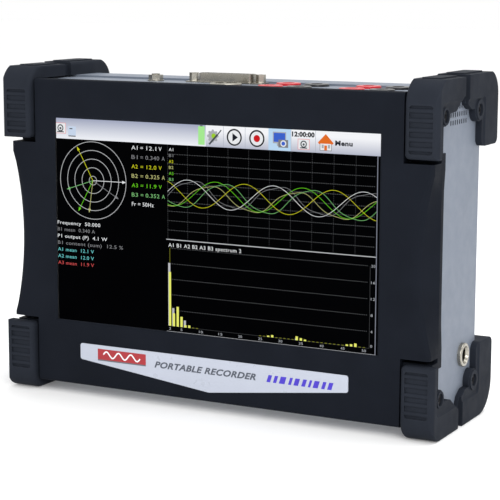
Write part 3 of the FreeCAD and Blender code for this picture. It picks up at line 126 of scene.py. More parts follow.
def surface(name, colour, rough, metallic=0.0, specular=0.5, variation=0.08, rough_spread=0.08,
            grain=900.0, grain_depth=0.00002, stretch=(1, 1, 1), wear=None, wear_radius=0.0012,
            wear_amount=0.5):
    """Moulded, painted or metal surface: mottled colour and gloss, fine grain, worn edges."""
    material, tree, shader = node_tree(name)
    broad = noise(tree, MOTTLE_SCALE, 4.0)
    dark = [c * (1 - variation) for c in colour]
    light = [min(1.0, c * (1 + variation)) for c in colour]
    tint = mix_colour(tree, map_range(tree, broad, 0.0, 1.0), dark, light)
    fine = noise(tree, grain, 3.0, 0.6, stretch)
    smooth = noise(tree, GLOSS_SCALE, 4.0, 0.6, stretch)
    gloss = map_range(tree, smooth, rough - rough_spread, rough + rough_spread)
    if wear:
        worn = edge_mask(tree, wear_radius, wear_amount)
        patches = map_range(tree, noise(tree, WEAR_SCALE, 5.0), 0.2, 1.0)
        tint = mix_colour(tree, multiply(tree, worn, patches), tint, wear)
    tree.links.new(tint, shader.inputs["Base Color"])
    tree.links.new(gloss, shader.inputs["Roughness"])
    shader.inputs["Metallic"].default_value = metallic
    shader.inputs["Specular IOR Level"].default_value = specular
    bump = tree.nodes.new("ShaderNodeBump")
    bump.inputs["Strength"].default_value = 1.0
    bump.inputs["Distance"].default_value = grain_depth
    tree.links.new(fine, bump.inputs["Height"])
    tree.links.new(bump.outputs["Normal"], shader.inputs["Normal"])
    return material


def glass_surface():
    """Clear cover glass: shows the picture through a faint glow of painted sheen, slightly
    smudged, that stands in for the reflection on the glass.
    """
    material = bpy.data.materials.new("touch_glass_clear")
    material.use_nodes = True
    tree = material.node_tree
    tree.nodes.clear()
    clear = tree.nodes.new("ShaderNodeBsdfTransparent")
    clear.inputs["Color"].default_value = (0.97, 0.975, 0.98, 1.0)
    # painted reflection: a faint bluish-white glow, mottled by noise, stands in for the sheen of
    # the glass
    painted_sheen = tree.nodes.new("ShaderNodeEmission")
    painted_sheen.inputs["Color"].default_value = (0.75, 0.85, 1.0, 1.0)
    tree.links.new(map_range(tree, noise(tree, 9.0, 4.0, 0.6), 0.0001, 0.0005),
                   painted_sheen.inputs["Strength"])
    both = tree.nodes.new("ShaderNodeAddShader")
    tree.links.new(clear.outputs["BSDF"], both.inputs[0])
    tree.links.new(painted_sheen.outputs["Emission"], both.inputs[1])
    out = tree.nodes.new("ShaderNodeOutputMaterial")
    tree.links.new(both.outputs["Shader"], out.inputs["Surface"])
    return material


def multiply(tree, first, second):
    node = tree.nodes.new("ShaderNodeMath")
    node.operation = "MULTIPLY"
    tree.links.new(first, node.inputs[0])
    tree.links.new(second, node.inputs[1])
    return node.outputs["Value"]


def object_axes(tree):
    """Place in the part's frame, split into its three axes."""
    coords = tree.nodes.new("ShaderNodeTexCoord")
    split = tree.nodes.new("ShaderNodeSeparateXYZ")
    tree.links.new(coords.outputs["Object"], split.inputs["Vector"])
    return split.outputs


def lit(name, colour, top_colour=None, z_low=0.0, z_high=1.0):
    """Lit part of the picture, which may shade into a second colour from z_low up to z_high.

    A faint grid of picture elements breaks the flat colour.
    """
    material, tree, shader = node_tree(name)
    place = object_axes(tree)
    half_pitch = PICTURE_ELEMENT / 2
    cells = []
    for axis in ("X", "Z"):
        wave = tree.nodes.new("ShaderNodeMath")
        wave.operation = "PINGPONG"
        wave.inputs[1].default_value = half_pitch
        tree.links.new(place[axis], wave.inputs[0])
        cells.append(map_range(tree, wave.outputs["Value"], 0.9, 1.0, 0.0, half_pitch * 0.4))
    between = [c * 0.86 for c in colour]
    full = colour
    if top_colour is not None:
        blend = map_range(tree, place["Z"], 0.0, 1.0, z_low, z_high)
        full = mix_colour(tree, blend, colour, top_colour)
    shown = mix_colour(tree, multiply(tree, *cells), between, full)
    tree.links.new(shown, shader.inputs["Emission Color"])
    shader.inputs["Emission Strength"].default_value = 1.0
    shader.inputs["Base Color"].default_value = (0.0, 0.0, 0.0, 1.0)
    shader.inputs["Roughness"].default_value = 0.4
    shader.inputs["Specular IOR Level"].default_value = 0.0
    return material


def build_materials():
    made = {}
    made["bezel_plastic"] = surface(
        "bezel_plastic_grained", (0.0080, 0.0098, 0.0145), 0.55, specular=0.03, variation=0.10,
        grain=1400.0, grain_depth=0.00003, wear=(0.018, 0.022, 0.030), wear_radius=0.0015,
        wear_amount=0.35)
    made["bumper_rubber"] = surface(
        "bumper_rubber_moulded", (0.0160, 0.0190, 0.0262), 0.62, specular=0.04, variation=0.12,
        grain=1100.0, grain_depth=0.00004, wear=(0.036, 0.041, 0.052), wear_radius=0.0018,
        wear_amount=0.4)
    made["case_paint"] = surface(
        "case_paint_powder", (0.178, 0.204, 0.252), 0.50, metallic=0.15, specular=0.25,
        variation=0.03, grain=1600.0, grain_depth=0.000025, wear=(0.32, 0.34, 0.40),
        wear_radius=0.0008, wear_amount=0.5)
    made["display"] = surface("display_frame", (0.01, 0.01, 0.01), 0.4, specular=0.3)
    made["label_film"] = surface(
        "label_film_silver", (0.45, 0.48, 0.56), 0.34, metallic=0.1, specular=0.4,
        variation=0.02, grain=2500.0, grain_depth=0.000008)
    made["steel"] = surface("steel_zinc", (0.5, 0.5, 0.52), 0.35, metallic=1.0,
                            grain=700.0, stretch=(1, 8, 1))
    made["black_steel"] = surface("steel_black_oxide", (0.010, 0.010, 0.012), 0.42, metallic=0.2,
                                  specular=0.2, wear=(0.07, 0.07, 0.075),
                                  wear_radius=0.0005, wear_amount=0.6)
    made["nickel"] = surface("nickel_satin", (0.38, 0.36, 0.31), 0.26, metallic=1.0,
                             variation=0.06, grain=600.0, grain_depth=0.00001,
                             wear=(0.72, 0.70, 0.64), wear_radius=0.0005, wear_amount=0.6)
    made["brass"] = surface("brass_turned", (0.62, 0.42, 0.16), 0.28, metallic=1.0,
                            stretch=(1, 1, 12))
    made["red_plastic"] = surface("red_insulator", (0.52, 0.012, 0.022), 0.30, specular=0.5,
                                  variation=0.05, grain=800.0, grain_depth=0.000012,
                                  wear=(0.7, 0.15, 0.15), wear_radius=0.0006)
    made["black_plastic"] = surface("black_insulator", (0.012, 0.012, 0.014), 0.32,
                                    variation=0.08, grain=800.0, grain_depth=0.000012,
                                    wear=(0.07, 0.07, 0.075), wear_radius=0.0006)
    made["gasket_rubber"] = surface("gasket_rubber_soft", (0.01, 0.01, 0.01), 0.7)
    made["circuit_board"] = surface("board_green", (0.01, 0.09, 0.03), 0.35, variation=0.2)
    made["chip_plastic"] = surface("chip_black", (0.012, 0.012, 0.012), 0.5)
    made["raw_aluminium"] = surface("aluminium_extruded", (0.62, 0.63, 0.65), 0.38,
                                    metallic=1.0, stretch=(1, 1, 0.05))
    made["flex_film"] = surface("flex_amber", (0.4, 0.16, 0.02), 0.35)
    made["pack_plastic"] = surface(
        "pack_plastic_grained", (0.017, 0.019, 0.023), 0.5, specular=0.35, variation=0.1,
        grain=1400.0, grain_depth=0.00003, wear=(0.06, 0.063, 0.07), wear_radius=0.0012,
        wear_amount=0.4)
    made["cell_wrap"] = surface("cell_wrap_blue", (0.02, 0.06, 0.22), 0.3)
    made["legend_film"] = surface("legend_film_blue", (0.09, 0.09, 0.52), 0.3, grain=2500.0,
                                  grain_depth=0.000008)
    # the cover glass carries a painted sheen: a faint glow standing in for its reflection
    made["screen_glass"] = glass_surface()
    # painted shade on the walls of the vent slots in the case paint
    darken_vents(made["case_paint"])
    return made


def darken_vents(paint):
    """Painted shade: the walls of the slots in the case sides are painted near black, as if in
    shadow, just under the skin and near the top.
    """
    tree = paint.node_tree
    case_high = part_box("case_shell")[1]
    place = object_axes(tree)
    side = tree.nodes.new("ShaderNodeMath")
    side.operation = "ABSOLUTE"
    tree.links.new(place["X"], side.inputs[0])
    across = side.outputs["Value"]
    # place, value before and after the limit, edge it is counted from, where it starts and ends
    limits = ((across, 1.0, 0.0, case_high.x, -0.5, -0.1),
              (across, 0.0, 1.0, case_high.x, -1.7, -1.5),
              (place["Z"], 0.0, 1.0, case_high.z, -23.0, -22.5),
              (place["Z"], 1.0, 0.0, case_high.z, -5.5, -5.0))
    parts = [map_range(tree, value, before, after, edge + start * MM, edge + end * MM)
             for value, before, after, edge, start, end in limits]
    mask = parts[0]
    for part in parts[1:]:
        mask = multiply(tree, mask, part)
    base = tree.nodes["Principled BSDF"].inputs["Base Color"]
    # painted shade: where the mask is 1 the base colour turns near black (0.012, 0.013, 0.016), as
    # if the slots lay in shadow
    tree.links.new(mix_colour(tree, mask, base.links[0].from_socket, (0.012, 0.013, 0.016)), base)


def dress_cad_nodes(materials):
    """Give each CAD node the material of its slot."""
    for entry in frame["record"]["subparts"]:
        mesh = frame["nodes"][entry["node"]].data
        mesh.materials.clear()
        mesh.materials.append(materials[entry["material_slot"]])


# ---- flat artwork ---------------------------------------------------------------------
CAPITAL = 0.72                # height of the font's capitals at size 1
LETTER_SPACE = 1.08
ARROW_HEAD = 2.6              # length of an arrow's head, mm
ARROW_HALF_W = 0.95


class Artwork:
    """Thin closed shapes in a plane facing the front, gathered by colour into one piece each.

    Places are in millimetres from a centre: x to the right, z up.
    """

    def __init__(self, centre, face_y, layer_step, thickness):
        self.centre = centre
        self.face_y = face_y
        self.layer_step = layer_step
        self.thickness = thickness
        self.meshes = {}

    def _store(self, name, layer):
        return self.meshes.setdefault((name, layer), ([], []))

    def polygon(self, name, points, layer=0):
        """Closed outline, anticlockwise or not, drawn as a thin slab."""
        area = sum(points[i - 1][0] * points[i][1] - points[i][0] * points[i - 1][1]
                   for i in range(len(points)))
        ring = list(points) if area > 0 else list(reversed(points))
        vertices, faces = self._store(name, layer)
        first = len(vertices)
        count = len(ring)
        y = self.face_y - layer * self.layer_step
        for depth in (y, y + self.thickness):
            for x, z in ring:
                vertices.append((self.centre.x + x * MM, depth, self.centre.z + z * MM))
        faces.append([first + i for i in range(count)])
        faces.append([first + count + i for i in reversed(range(count))])
        for i in range(count):
            after = (i + 1) % count
            faces.append([first + i, first + count + i, first + count + after, first + after])

    def rectangle(self, name, x0, x1, z0, z1, layer=0):
        self.polygon(name, [(x0, z0), (x1, z0), (x1, z1), (x0, z1)], layer)

    def outline_box(self, name, x0, x1, z0, z1, width, layer=0):
        self.rectangle(name, x0, x1, z0, z0 + width, layer)
        self.rectangle(name, x0, x1, z1 - width, z1, layer)
        self.rectangle(name, x0, x0 + width, z0 + width, z1 - width, layer)
        self.rectangle(name, x1 - width, x1, z0 + width, z1 - width, layer)

    def line(self, name, points, width, layer=0):
        """Band of even width along the points, one slab to a stretch."""
        left = []
        right = []
        for i, (x, z) in enumerate(points):
            before = points[max(i - 1, 0)]
            after = points[min(i + 1, len(points) - 1)]
            dx = after[0] - before[0]
            dz = after[1] - before[1]
            length = math.hypot(dx, dz)
            nx = -dz / length * width / 2
            nz = dx / length * width / 2
            left.append((x + nx, z + nz))
            right.append((x - nx, z - nz))
        for i in range(len(points) - 1):
            self.polygon(name, [right[i], right[i + 1], left[i + 1], left[i]], layer)

    def ring(self, name, x, z, radius, width, layer=0, count=56):
        points = [(x + radius * math.cos(a), z + radius * math.sin(a))
                  for a in (2 * math.pi * i / count for i in range(count + 1))]
        self.line(name, points, width, layer)

    def disc(self, name, x, z, radius, layer=0, count=40):
        self.polygon(name, [(x + radius * math.cos(a), z + radius * math.sin(a))
                            for a in (2 * math.pi * i / count for i in range(count))], layer)

    def dots(self, name, x0, x1, z, pitch, size, layer=0):
        """Row of small square dots."""
        for i in range(int((x1 - x0) / pitch)):
            x = x0 + i * pitch
            self.rectangle(name, x, x + size, z - size / 2, z + size / 2, layer)

    def arrow(self, name, x, z, angle, length, width, layer=0):
        """Arrow from x, z, at an angle in degrees from the right, anticlockwise."""
        c = math.cos(math.radians(angle))
        s = math.sin(math.radians(angle))
        neck = length - ARROW_HEAD

        def place(along, across):
            return (x + c * along - s * across, z + s * along + c * across)

        self.line(name, [(x, z), place(neck, 0)], width, layer)
        self.polygon(name, [place(neck, -ARROW_HALF_W), place(length, 0),
                            place(neck, ARROW_HALF_W)], layer)

    def text(self, name, words, x, z, height, width, layer=0, bold=0.0, slant=0.0):
        """Words with their left end at x, centred on z; height is that of a capital.

        The font's own faces are doubled front and back and closed along their open edges.
        """
        curve = bpy.data.curves.new("words", "FONT")
        curve.body = words
        curve.size = 1.0
        curve.offset = bold
        curve.shear = slant
        curve.resolution_u = 3
        curve.space_character = LETTER_SPACE
        holder = bpy.data.objects.new("words", curve)
        bpy.context.scene.collection.objects.link(holder)
        bpy.context.view_layer.update()
        mesh = bpy.data.meshes.new_from_object(holder)
        xs = [v.co.x for v in mesh.vertices]
        left = min(xs)
        scale_z = height / CAPITAL
        scale_x = width / (max(xs) - left)
        vertices, faces = self._store(name, layer)
        y = self.face_y - layer * self.layer_step
        count = len(mesh.vertices)
        first = len(vertices)
        for depth in (y, y + self.thickness):
            for v in mesh.vertices:
                vertices.append((self.centre.x + (x + (v.co.x - left) * scale_x) * MM, depth,
                                 self.centre.z + (z + (v.co.y - CAPITAL / 2) * scale_z) * MM))
        edge_use = {}
        for face in mesh.polygons:
            ring = list(face.vertices)
            faces.append([first + i for i in ring])
            faces.append([first + count + i for i in reversed(ring)])
            for a, b in zip(ring, ring[1:] + ring[:1]):
                edge_use.setdefault(frozenset((a, b)), []).append((a, b))
        for uses in edge_use.values():
            if len(uses) == 1:
                a, b = uses[0]
                faces.append([first + b, first + a, first + count + a, first + count + b])
        bpy.data.objects.remove(holder)
        bpy.data.curves.remove(curve)
        bpy.data.meshes.remove(mesh)

    def build(self, prefix, materials):
        """One object per colour and layer, riding on the instrument."""
        for (name, layer), (vertices, faces) in sorted(self.meshes.items()):
            mesh = bpy.data.meshes.new(f"{prefix}_{name}_{layer}")
            mesh.from_pydata(vertices, [], faces)
            mesh.validate()
            mesh.materials.append(materials[name])
            piece = bpy.data.objects.new(mesh.name, mesh)
            bpy.context.scene.collection.objects.link(piece)
            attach(piece, BODY)


# ---- the picture on the screen ---------------------------------------------------------
# millimetres from the middle of the glass
PICTURE_SHIFT_X = -1.35   # the layout is given as it looks on the front plane,
PICTURE_SHIFT_Z = -0.4    # and the picture lies deeper than that
PICTURE_LAYERS = 8
PICTURE_HALF_W = 113.5
PICTURE_HALF_H = 65.0
BAR_LOW = 51.7            # lower edge of the tool bar
BAR_HIGH = 65.2
PLOT_LEFT = -28.9
PLOT_RIGHT = 109.8
RULE = 0.52               # thickness of the lines between the panes
BAR_SPLIT = -2.3          # where the tool bar's shading turns over
BUTTON_Z = 58.1           # middle of the run and record buttons
DOT_PITCH = 1.16
ROW_STEP = 5.83           # between rows of the wave plot, and between readings
COLUMN_STEP = 13.93
WAVE_PERIOD = 58.3
WAVE_STEPS = 170
SPECTRUM_BASE = -60.6     # foot of the bars
SPECTRUM_TOP = -12.0
SPECTRUM_ROW = 9.66
SPECTRUM_ZERO = -33.05    # place of bar number 0, left of the pane
SPECTRUM_STEP = 2.72
SPECTRUM_LEFT = -27.0
SPECTRUM_RIGHT = 106.0
BAR_HALF_W = 0.78


def tool_bar(art):
    art.rectangle("bar", -PICTURE_HALF_W, BAR_SPLIT, BAR_LOW, BAR_HIGH, 1)
    art.rectangle("bar_right", BAR_SPLIT, PICTURE_HALF_W, BAR_LOW, BAR_HIGH, 1)
    for x in (9.8, 24.5, 54.8, 70.6):
        art.rectangle("shade", x - 0.12, x + 0.12, BAR_LOW + 0.3, BAR_HIGH, 2)
    # state indicator
    art.rectangle("mint", -7.4, -3.0, 52.6, 63.7, 2)
    art.rectangle("ink", -6.1, -4.4, 63.7, 64.2, 2)
    # storage and memory symbols at the left end, and again under the clock
    for x, z, size in ((-106.7, 58.2, 8.2), (63.0, 56.2, 7.6)):
        half = size / 2
        art.rectangle("white", x - half, x + half, z - half * 0.82, z + half * 0.82, 2)
        art.outline_box("rose", x - half, x + half, z - half * 0.82, z + half * 0.82, 0.3, 3)
        art.ring("slate", x, z + 0.1, size * 0.23, size * 0.09, 3, 28)
        art.disc("slate", x, z - 0.1, size * 0.09, 3, 20)
        art.rectangle("slate", x - size * 0.3, x + size * 0.3, z - size * 0.32,
                      z - size * 0.24, 3)
    art.rectangle("pale_blue", -101.0, -95.2, 53.9, 59.6, 2)
    art.rectangle("slate", -100.8, -95.4, 53.2, 53.8, 2)
    art.rectangle("slate", -99.9, -97.7, 57.8, 58.4, 3)
    # settings: a toothed wheel with a pen across it
    art.disc("silver", 2.6, 58.2, 3.1, 2)
    for i in range(8):
        angle = 2 * math.pi * i / 8
        art.disc("silver", 2.6 + 3.2 * math.cos(angle), 58.2 + 3.2 * math.sin(angle), 0.8, 2, 12)
    art.disc("lime", 3.2, 58.3, 1.5, 3)
    art.line("slate", [(0.2, 53.2), (5.9, 59.2)], 1.1, 4)
    art.line("slate", [(5.9, 59.2), (8.4, 62.0)], 0.7, 4)
    # run and record
    for x in (17.2, 32.3):
        art.disc("white", x, BUTTON_Z, 5.2, 2)
        art.ring("ink", x, BUTTON_Z, 4.6, 0.95, 3)
    art.polygon("ink", [(16.0, BUTTON_Z - 2.5), (19.6, BUTTON_Z), (16.0, BUTTON_Z + 2.5)], 3)
    art.disc("red", 32.3, BUTTON_Z, 2.1, 3)
    # picture capture, drawn as the chosen button
    art.rectangle("sky", 40.0, 54.6, BAR_LOW + 0.1, BAR_HIGH, 2)
    art.rectangle("silver", 42.9, 51.6, 55.9, 62.7, 3)
    art.rectangle("blue", 43.5, 51.0, 56.8, 62.1, 4)
    art.rectangle("silver", 45.6, 48.6, 54.4, 55.9, 3)
    art.rectangle("grey", 46.6, 53.0, 53.6, 58.2, 5)
    art.disc("white", 49.9, 56.0, 1.9, 6)
    art.disc("blue", 49.9, 56.0, 1.2, 7)
    # clock
    art.text("ink", "12:00:00", 55.4, 62.0, 2.7, 14.6, 3, bold=0.05)
    # house
    art.polygon("white", [(73.6, 53.3), (80.8, 53.3), (80.8, 58.4), (77.2, 61.4), (73.6, 58.4)], 2)
    art.outline_box("grey", 73.4, 81.0, 53.1, 58.0, 0.32, 3)
    art.rectangle("silver", 74.6, 75.9, 54.6, 56.6, 3)
    art.rectangle("silver", 78.6, 79.9, 54.6, 56.6, 3)
    art.polygon("orange", [(73.4, 57.2), (77.2, 61.4), (81.0, 57.2)], 4)
    art.line("orange", [(72.7, 57.2), (77.2, 62.1), (81.7, 57.2)], 1.5, 5)
    art.rectangle("orange", 76.3, 78.0, 53.4, 56.2, 4)
    art.text("ink", "Menu", 83.2, 58.0, 2.8, 11.0, 3, bold=0.04)


def phasor_plot(art):
    x = -83.0
    z = 26.3
    for radius in (2.75, 8.1, 13.5, 18.9, 24.3):
        art.ring("ring_grey", x, z, radius, 0.36, 1, 72)
    for name, angle, length in (("grey", -29.0, 21.6), ("white", 0.5, 24.2),
                                ("pale_yellow", -98.5, 20.6), ("yellow", 119.0, 23.8),
                                ("pale_green", -161.5, 20.6), ("green", -119.0, 22.8)):
        art.arrow(name, x, z, angle, length, 0.34, 2)


def readings(art):
    rows = (("A1", "12.1", "V", "white"), ("B1", "0.340", "A", "grey"),
            ("A2", "12.0", "V", "yellow"), ("B2", "0.325", "A", "pale_yellow"),
            ("A3", "11.9", "V", "green"), ("B3", "0.352", "A", "pale_green"))
    for i, (label, value, unit, colour) in enumerate(rows):
        z = 48.6 - i * ROW_STEP
        long_value = len(value) > 4
        art.text(colour, label, -54.6, z, 2.5, 4.4, 1)
        art.text(colour, "=", -48.2, z, 2.5, 1.9, 1)
        art.text(colour, value, -44.6 if long_value else -43.8, z, 2.5,
                 9.8 if long_value else 6.9, 1)
        art.text(colour, unit, -33.0 if long_value else -35.2, z, 2.5, 2.1, 1)
    art.text("white", "Fr = 50Hz", -54.6, 13.7, 2.5, 15.6, 1)
    lines = (("Frequency  50.000", "white", 32.0), ("B1 mean  0.340 A", "grey", 28.0),
             ("P1 output (P)  4.1 W", "white", 37.0), ("B1 content (sum)  12.5 %", "grey", 48.6),
             ("A1 mean  12.1 V", "cyan", 27.0), ("A2 mean  12.0 V", "cyan", 27.0),
             ("A3 mean  11.9 V", "coral", 27.0))
    for i, (words, colour, width) in enumerate(lines):
        art.text(colour, words, -110.0, -1.6 - i * 4.3, 2.3, width, 1)


def wave_plot(art):
    for i in range(10):
        x = PLOT_LEFT + i * COLUMN_STEP
        for k in range(50):
            z = -6.0 + k * DOT_PITCH
            art.rectangle("dim", x - 0.16, x + 0.16, z, z + 0.6, 1)
    for i in range(9):
        art.dots("dotted", PLOT_LEFT, PLOT_RIGHT, 45.8 - i * ROW_STEP, DOT_PITCH, 0.42, 2)
    names = (("A1", "white"), ("B1", "grey"), ("A2", "yellow"), ("B2", "pale_yellow"),
             ("A3", "green"), ("B3", "pale_green"))
    for i, (label, colour) in enumerate(names):
        art.text(colour, label, -27.9, 48.7 - i * 3.65, 1.9, 3.1, 3)
    # colour, place of a crest, height, level, share of third harmonic
    curves = (("white", 43.5, 8.2, 22.5, 0.0), ("grey", 47.0, 7.6, 22.7, 0.12),
              ("yellow", 24.3, 8.1, 22.4, 0.0), ("pale_yellow", 0.4, 7.0, 20.9, 0.10),
              ("green", 4.5, 8.1, 22.5, 0.0), ("pale_green", 10.2, 8.0, 21.8, 0.08))
    for i, (colour, crest, height, level, third) in enumerate(curves):
        points = []
        for step in range(WAVE_STEPS + 1):
            x = PLOT_LEFT + (PLOT_RIGHT - PLOT_LEFT) * step / WAVE_STEPS
            angle = 2 * math.pi * (x - crest) / WAVE_PERIOD
            wave = math.cos(angle) - third * math.cos(3 * angle + 0.9)
            points.append((x, level + height * wave))
        art.line(colour, points, 0.25, 3 + i % 3)
    art.rectangle("light_grey", -30.0, PLOT_RIGHT, -6.9, -6.9 + RULE, 2)


def spectrum_plot(art):
    art.text("white", "A1 B1 A2 B2 A3 B3 spectrum 2", -28.6, -10.0, 2.4, 50.6, 1)
    # rows with their scale at the right
    for i in range(5):
        z = SPECTRUM_TOP - i * SPECTRUM_ROW
        art.dots("dotted", SPECTRUM_LEFT, SPECTRUM_RIGHT, z, DOT_PITCH, 0.4, 1)
        scale_width = 2.6 if i < 3 else 1.3
        art.text("silver", str(20 - 4 * i), SPECTRUM_RIGHT + 0.9, z, 1.6, scale_width, 2)
    art.text("silver", "0", SPECTRUM_RIGHT + 0.9, -59.2, 1.6, 1.3, 2)
    art.rectangle("dim", SPECTRUM_RIGHT + 0.1, SPECTRUM_RIGHT + 0.35, SPECTRUM_BASE,
                  SPECTRUM_TOP, 1)
    art.rectangle("dim", SPECTRUM_LEFT, SPECTRUM_RIGHT, SPECTRUM_BASE - 0.1,
                  SPECTRUM_BASE + 0.1, 1)
    # numbers under the bars
    for number in [2] + list(range(5, 51, 5)):
        width = 1.3 if number < 10 else 2.6
        shift = 0.7 if number < 10 else 1.3
        art.text("silver", str(number), SPECTRUM_ZERO + number * SPECTRUM_STEP - shift,
                 -62.3, 1.6, width, 2)
    first_x = SPECTRUM_ZERO + 2 * SPECTRUM_STEP
    art.rectangle("olive", first_x - 0.15, first_x + 0.15, -21.0, SPECTRUM_TOP, 1)
    # number of each bar and its height
    behind = {2: 39.3, 3: 11.3, 6: 4.3, 34: 0.9}
    front = {2: 33.8, 3: 8.1, 4: 12.4, 5: 6.4, 6: 1.4, 7: 1.5, 8: 0.4, 9: 0.4, 27: 0.8, 28: 1.4,
             34: 2.3, 35: 1.5, 36: 0.9, 46: 0.9, 47: 1.3, 48: 2.0}
    for number, height in behind.items():
        x = SPECTRUM_ZERO + number * SPECTRUM_STEP - 0.45
        art.rectangle("light_grey", x - 0.75, x + 0.75, SPECTRUM_BASE, SPECTRUM_BASE + height, 1)
    for number in range(2, 51):
        x = SPECTRUM_ZERO + number * SPECTRUM_STEP
        height = front.get(number, 0.35 if number > 24 else 0.0)
        if height:
            art.rectangle("lemon" if height > 0.7 else "olive", x - BAR_HALF_W, x + BAR_HALF_W,
                          SPECTRUM_BASE, SPECTRUM_BASE + height, 2)
    art.rectangle("light_grey", -30.0, PLOT_RIGHT + RULE, -64.5, -64.5 + RULE, 2)
    art.rectangle("edge_grey", PLOT_RIGHT, PLOT_RIGHT + RULE, -64.5 + RULE, BAR_LOW, 4)


def picture_colours(foot, top):
    """Lit materials; the tool bar shades from its foot to its top."""
    shaded = {
        "bar": lit("lit_bar", (0.92, 0.93, 0.97), (0.33, 0.36, 0.50), foot, top),
        "bar_right": lit("lit_bar_right", (0.50, 0.52, 0.62), (0.98, 0.98, 1.0), foot,
                         foot + (top - foot) * 0.7),
    }
    plain = {
        "night": (0.0006, 0.0006, 0.0009),
        "shade": (0.42, 0.44, 0.52),
        "mint": (0.40, 0.86, 0.30),
        "ink": (0.012, 0.014, 0.02),
        "white": (0.86, 0.87, 0.88),
        "rose": (0.85, 0.28, 0.30),
        "slate": (0.06, 0.07, 0.08),
        "pale_blue": (0.60, 0.70, 0.86),
        "silver": (0.42, 0.43, 0.46),
        "lime": (0.35, 0.62, 0.03),
        "red": (0.62, 0.012, 0.016),
        "sky": (0.52, 0.72, 0.92),
        "blue": (0.05, 0.13, 0.62),
        "grey": (0.22, 0.22, 0.23),
        "orange": (0.80, 0.16, 0.02),
        "light_grey": (0.52, 0.52, 0.54),
        "ring_grey": (0.52, 0.52, 0.53),
        "edge_grey": (0.22, 0.23, 0.28),
        "pale_yellow": (0.52, 0.52, 0.20),
        "yellow": (0.62, 0.62, 0.015),
        "pale_green": (0.20, 0.52, 0.18),
        "green": (0.14, 0.62, 0.015),
        "cyan": (0.16, 0.62, 0.62),
        "coral": (0.62, 0.08, 0.08),
        "dim": (0.050, 0.051, 0.054),
        "dotted": (0.115, 0.117, 0.122),
        "olive": (0.20, 0.20, 0.02),
        "lemon": (0.86, 0.88, 0.16),
    }
    return shaded | {name: lit("lit_" + name, colour) for name, colour in plain.items()}


def screen_picture():
    """The picture, in thin layers in the gap between the glass and the display."""
    glass_low, glass_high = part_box("touch_glass")
    display_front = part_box("lcd_panel")[0].y
    room = display_front - glass_high.y
    centre = (glass_low + glass_high) / 2
    centre += Vector((PICTURE_SHIFT_X, 0, PICTURE_SHIFT_Z)) * MM
    art = Artwork(centre, display_front - room * 0.25, room * 0.6 / PICTURE_LAYERS, room * 0.05)
    art.rectangle("night", -PICTURE_HALF_W, PICTURE_HALF_W, -PICTURE_HALF_H, PICTURE_HALF_H, 0)
    tool_bar(art)
    phasor_plot(art)
    readings(art)
    wave_plot(art)
    spectrum_plot(art)
    colours = picture_colours(centre.z + BAR_LOW * MM, centre.z + BAR_HIGH * MM)
    art.build("screen", colours)


# ---- label artwork -------------------------------------------------------------------
# millimetres from the middle of the label and the middle of the glass
BLOCK_LEFT = -80.2
BLOCK_RIGHT = -44.8
BLOCK_LOW = -87.1
BLOCK_HIGH = -80.3
INK_THICKNESS = 0.00002       # metres
INK_STEP = 0.00003
WAVE_POINTS = 60
WAVE_TURNS = 3


def label_artwork():
    low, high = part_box("label_plate")
    glass_low, glass_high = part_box("touch_glass")
    centre = Vector(((low.x + high.x) / 2, low.y, (glass_low.z + glass_high.z) / 2))
    art = Artwork(centre, low.y - INK_THICKNESS, INK_STEP, INK_THICKNESS)
    # red block with a plain wave in it
    art.rectangle("red", BLOCK_LEFT, BLOCK_RIGHT, BLOCK_LOW, BLOCK_HIGH, 1)
    art.rectangle("shadow", BLOCK_LEFT, BLOCK_RIGHT, BLOCK_LOW - 0.8, BLOCK_LOW, 1)
    wave = []
    for i in range(WAVE_POINTS + 1):
        share = i / WAVE_POINTS
        wave.append((-76.0 + 27.0 * share,
                     -83.7 + 1.9 * math.sin(2 * math.pi * WAVE_TURNS * share)))
    art.line("white", wave, 0.9, 2)
    # generic description
    art.text("grey", "PORTABLE RECORDER", -38.6, -85.7, 3.9, 71.0, 1, bold=0.035, slant=0.32)
    # row of slanted blocks
    x = 39.6
    for width in (3.4, 3.0, 5.2, 2.6, 4.2, 3.4, 2.2, 4.6, 3.0, 3.8):
        across = width * 0.72
        lean = 1.4
        art.polygon("blue", [(x, -87.9), (x + across, -87.9), (x + across + lean, -83.5),
                             (x + lean, -83.5)], 1)
        x += width + 0.95
    inks = {
        "red": surface("ink_red", (0.34, 0.010, 0.018), 0.35, variation=0.05),
        "shadow": surface("ink_shadow", (0.10, 0.11, 0.13), 0.4),
        "white": surface("ink_white", (0.80, 0.80, 0.82), 0.35, variation=0.02),
        "grey": surface("ink_grey", (0.060, 0.070, 0.095), 0.4),
        "blue": surface("ink_blue", (0.045, 0.022, 0.46), 0.35),
    }
    art.build("label", inks)


# ---- stage, light and camera -----------------------------------------------------------
CAMERA_AZIMUTH = 27.722       # degrees to the right of straight ahead
CAMERA_ELEVATION = 9.321
CAMERA_ROLL = 0.163
CAMERA_DISTANCE = 1.0
CAMERA_LENS = 120.48
AIM = Vector((0.02632, -0.04138, 0.10268))
FLOOR_SIZE = 14.0
FLOOR_GAP = 0.0002            # keeps the floor clear of the feet


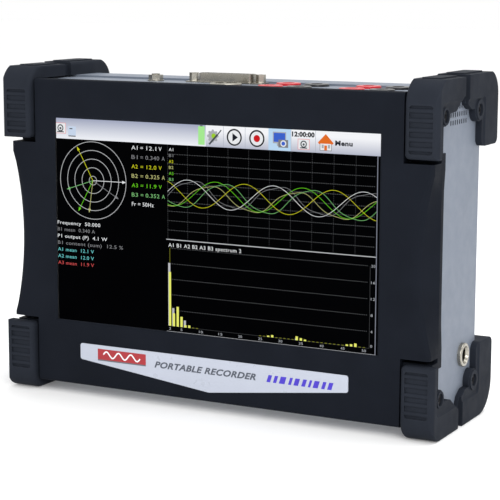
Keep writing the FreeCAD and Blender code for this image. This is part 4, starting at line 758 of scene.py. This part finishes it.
def camera():
    azimuth = math.radians(CAMERA_AZIMUTH)
    elevation = math.radians(CAMERA_ELEVATION)
    back = Vector((math.sin(azimuth) * math.cos(elevation),
                   -math.cos(azimuth) * math.cos(elevation), math.sin(elevation)))
    right = Vector((math.cos(azimuth), math.sin(azimuth), 0))
    up = back.cross(right)
    turn = Matrix.Rotation(math.radians(CAMERA_ROLL), 3, back)
    right = turn @ right
    up = turn @ up
    data = bpy.data.cameras.new("camera")
    data.sensor_width = 36.0
    data.lens = CAMERA_LENS
    data.clip_start = 0.05
    data.clip_end = 60.0
    eye = bpy.data.objects.new("camera", data)
    place = Matrix((right, up, back)).transposed().to_4x4()
    place.translation = AIM + back * CAMERA_DISTANCE
    eye.matrix_world = place
    bpy.context.scene.collection.objects.link(eye)
    bpy.context.scene.camera = eye


def lamp(name, place, target, size, power):
    data = bpy.data.lights.new(name, "AREA")
    data.shape = "RECTANGLE"
    data.size, data.size_y = size
    data.energy = power
    light = bpy.data.objects.new(name, data)
    light.location = place
    direction = Vector(target) - Vector(place)
    light.rotation_euler = direction.to_track_quat("-Z", "Y").to_euler()
    bpy.context.scene.collection.objects.link(light)


def stage():
    scene = bpy.context.scene
    scene.view_settings.view_transform = "Standard"
    world = bpy.data.worlds.new("studio")
    world.use_nodes = True
    background = world.node_tree.nodes["Background"]
    background.inputs["Color"].default_value = (1, 1, 1, 1)
    background.inputs["Strength"].default_value = 1.0
    scene.world = world
    half = FLOOR_SIZE / 2
    mesh = bpy.data.meshes.new("floor")
    mesh.from_pydata([(-half, -half, 0), (half, -half, 0), (half, half, 0), (-half, half, 0)],
                     [], [(0, 1, 2, 3)])
    floor = bpy.data.objects.new("floor", mesh)
    floor.location.z = cad_bounds[0][2] - FLOOR_GAP
    pale = surface("floor_pale", (0.90, 0.90, 0.90), 0.75, specular=0.05, variation=0.004,
                   grain=60.0)
    shader = pale.node_tree.nodes["Principled BSDF"]
    shader.inputs["Emission Color"].default_value = (1, 1, 1, 1)
    shader.inputs["Emission Strength"].default_value = 0.12
    mesh.materials.append(pale)
    scene.collection.objects.link(floor)
    middle = (0, 0, 0.1)
    lamp("key", (0.62, -0.85, 0.62), middle, (0.5, 0.5), 5.5)
    lamp("fill", (-1.3, -0.9, 0.9), middle, (0.9, 1.2), 2.0)
    lamp("top", (0.2, 0.3, 1.5), middle, (1.2, 0.8), 10)


camera()
stage()
materials = build_materials()
dress_cad_nodes(materials)
screen_picture()
label_artwork()
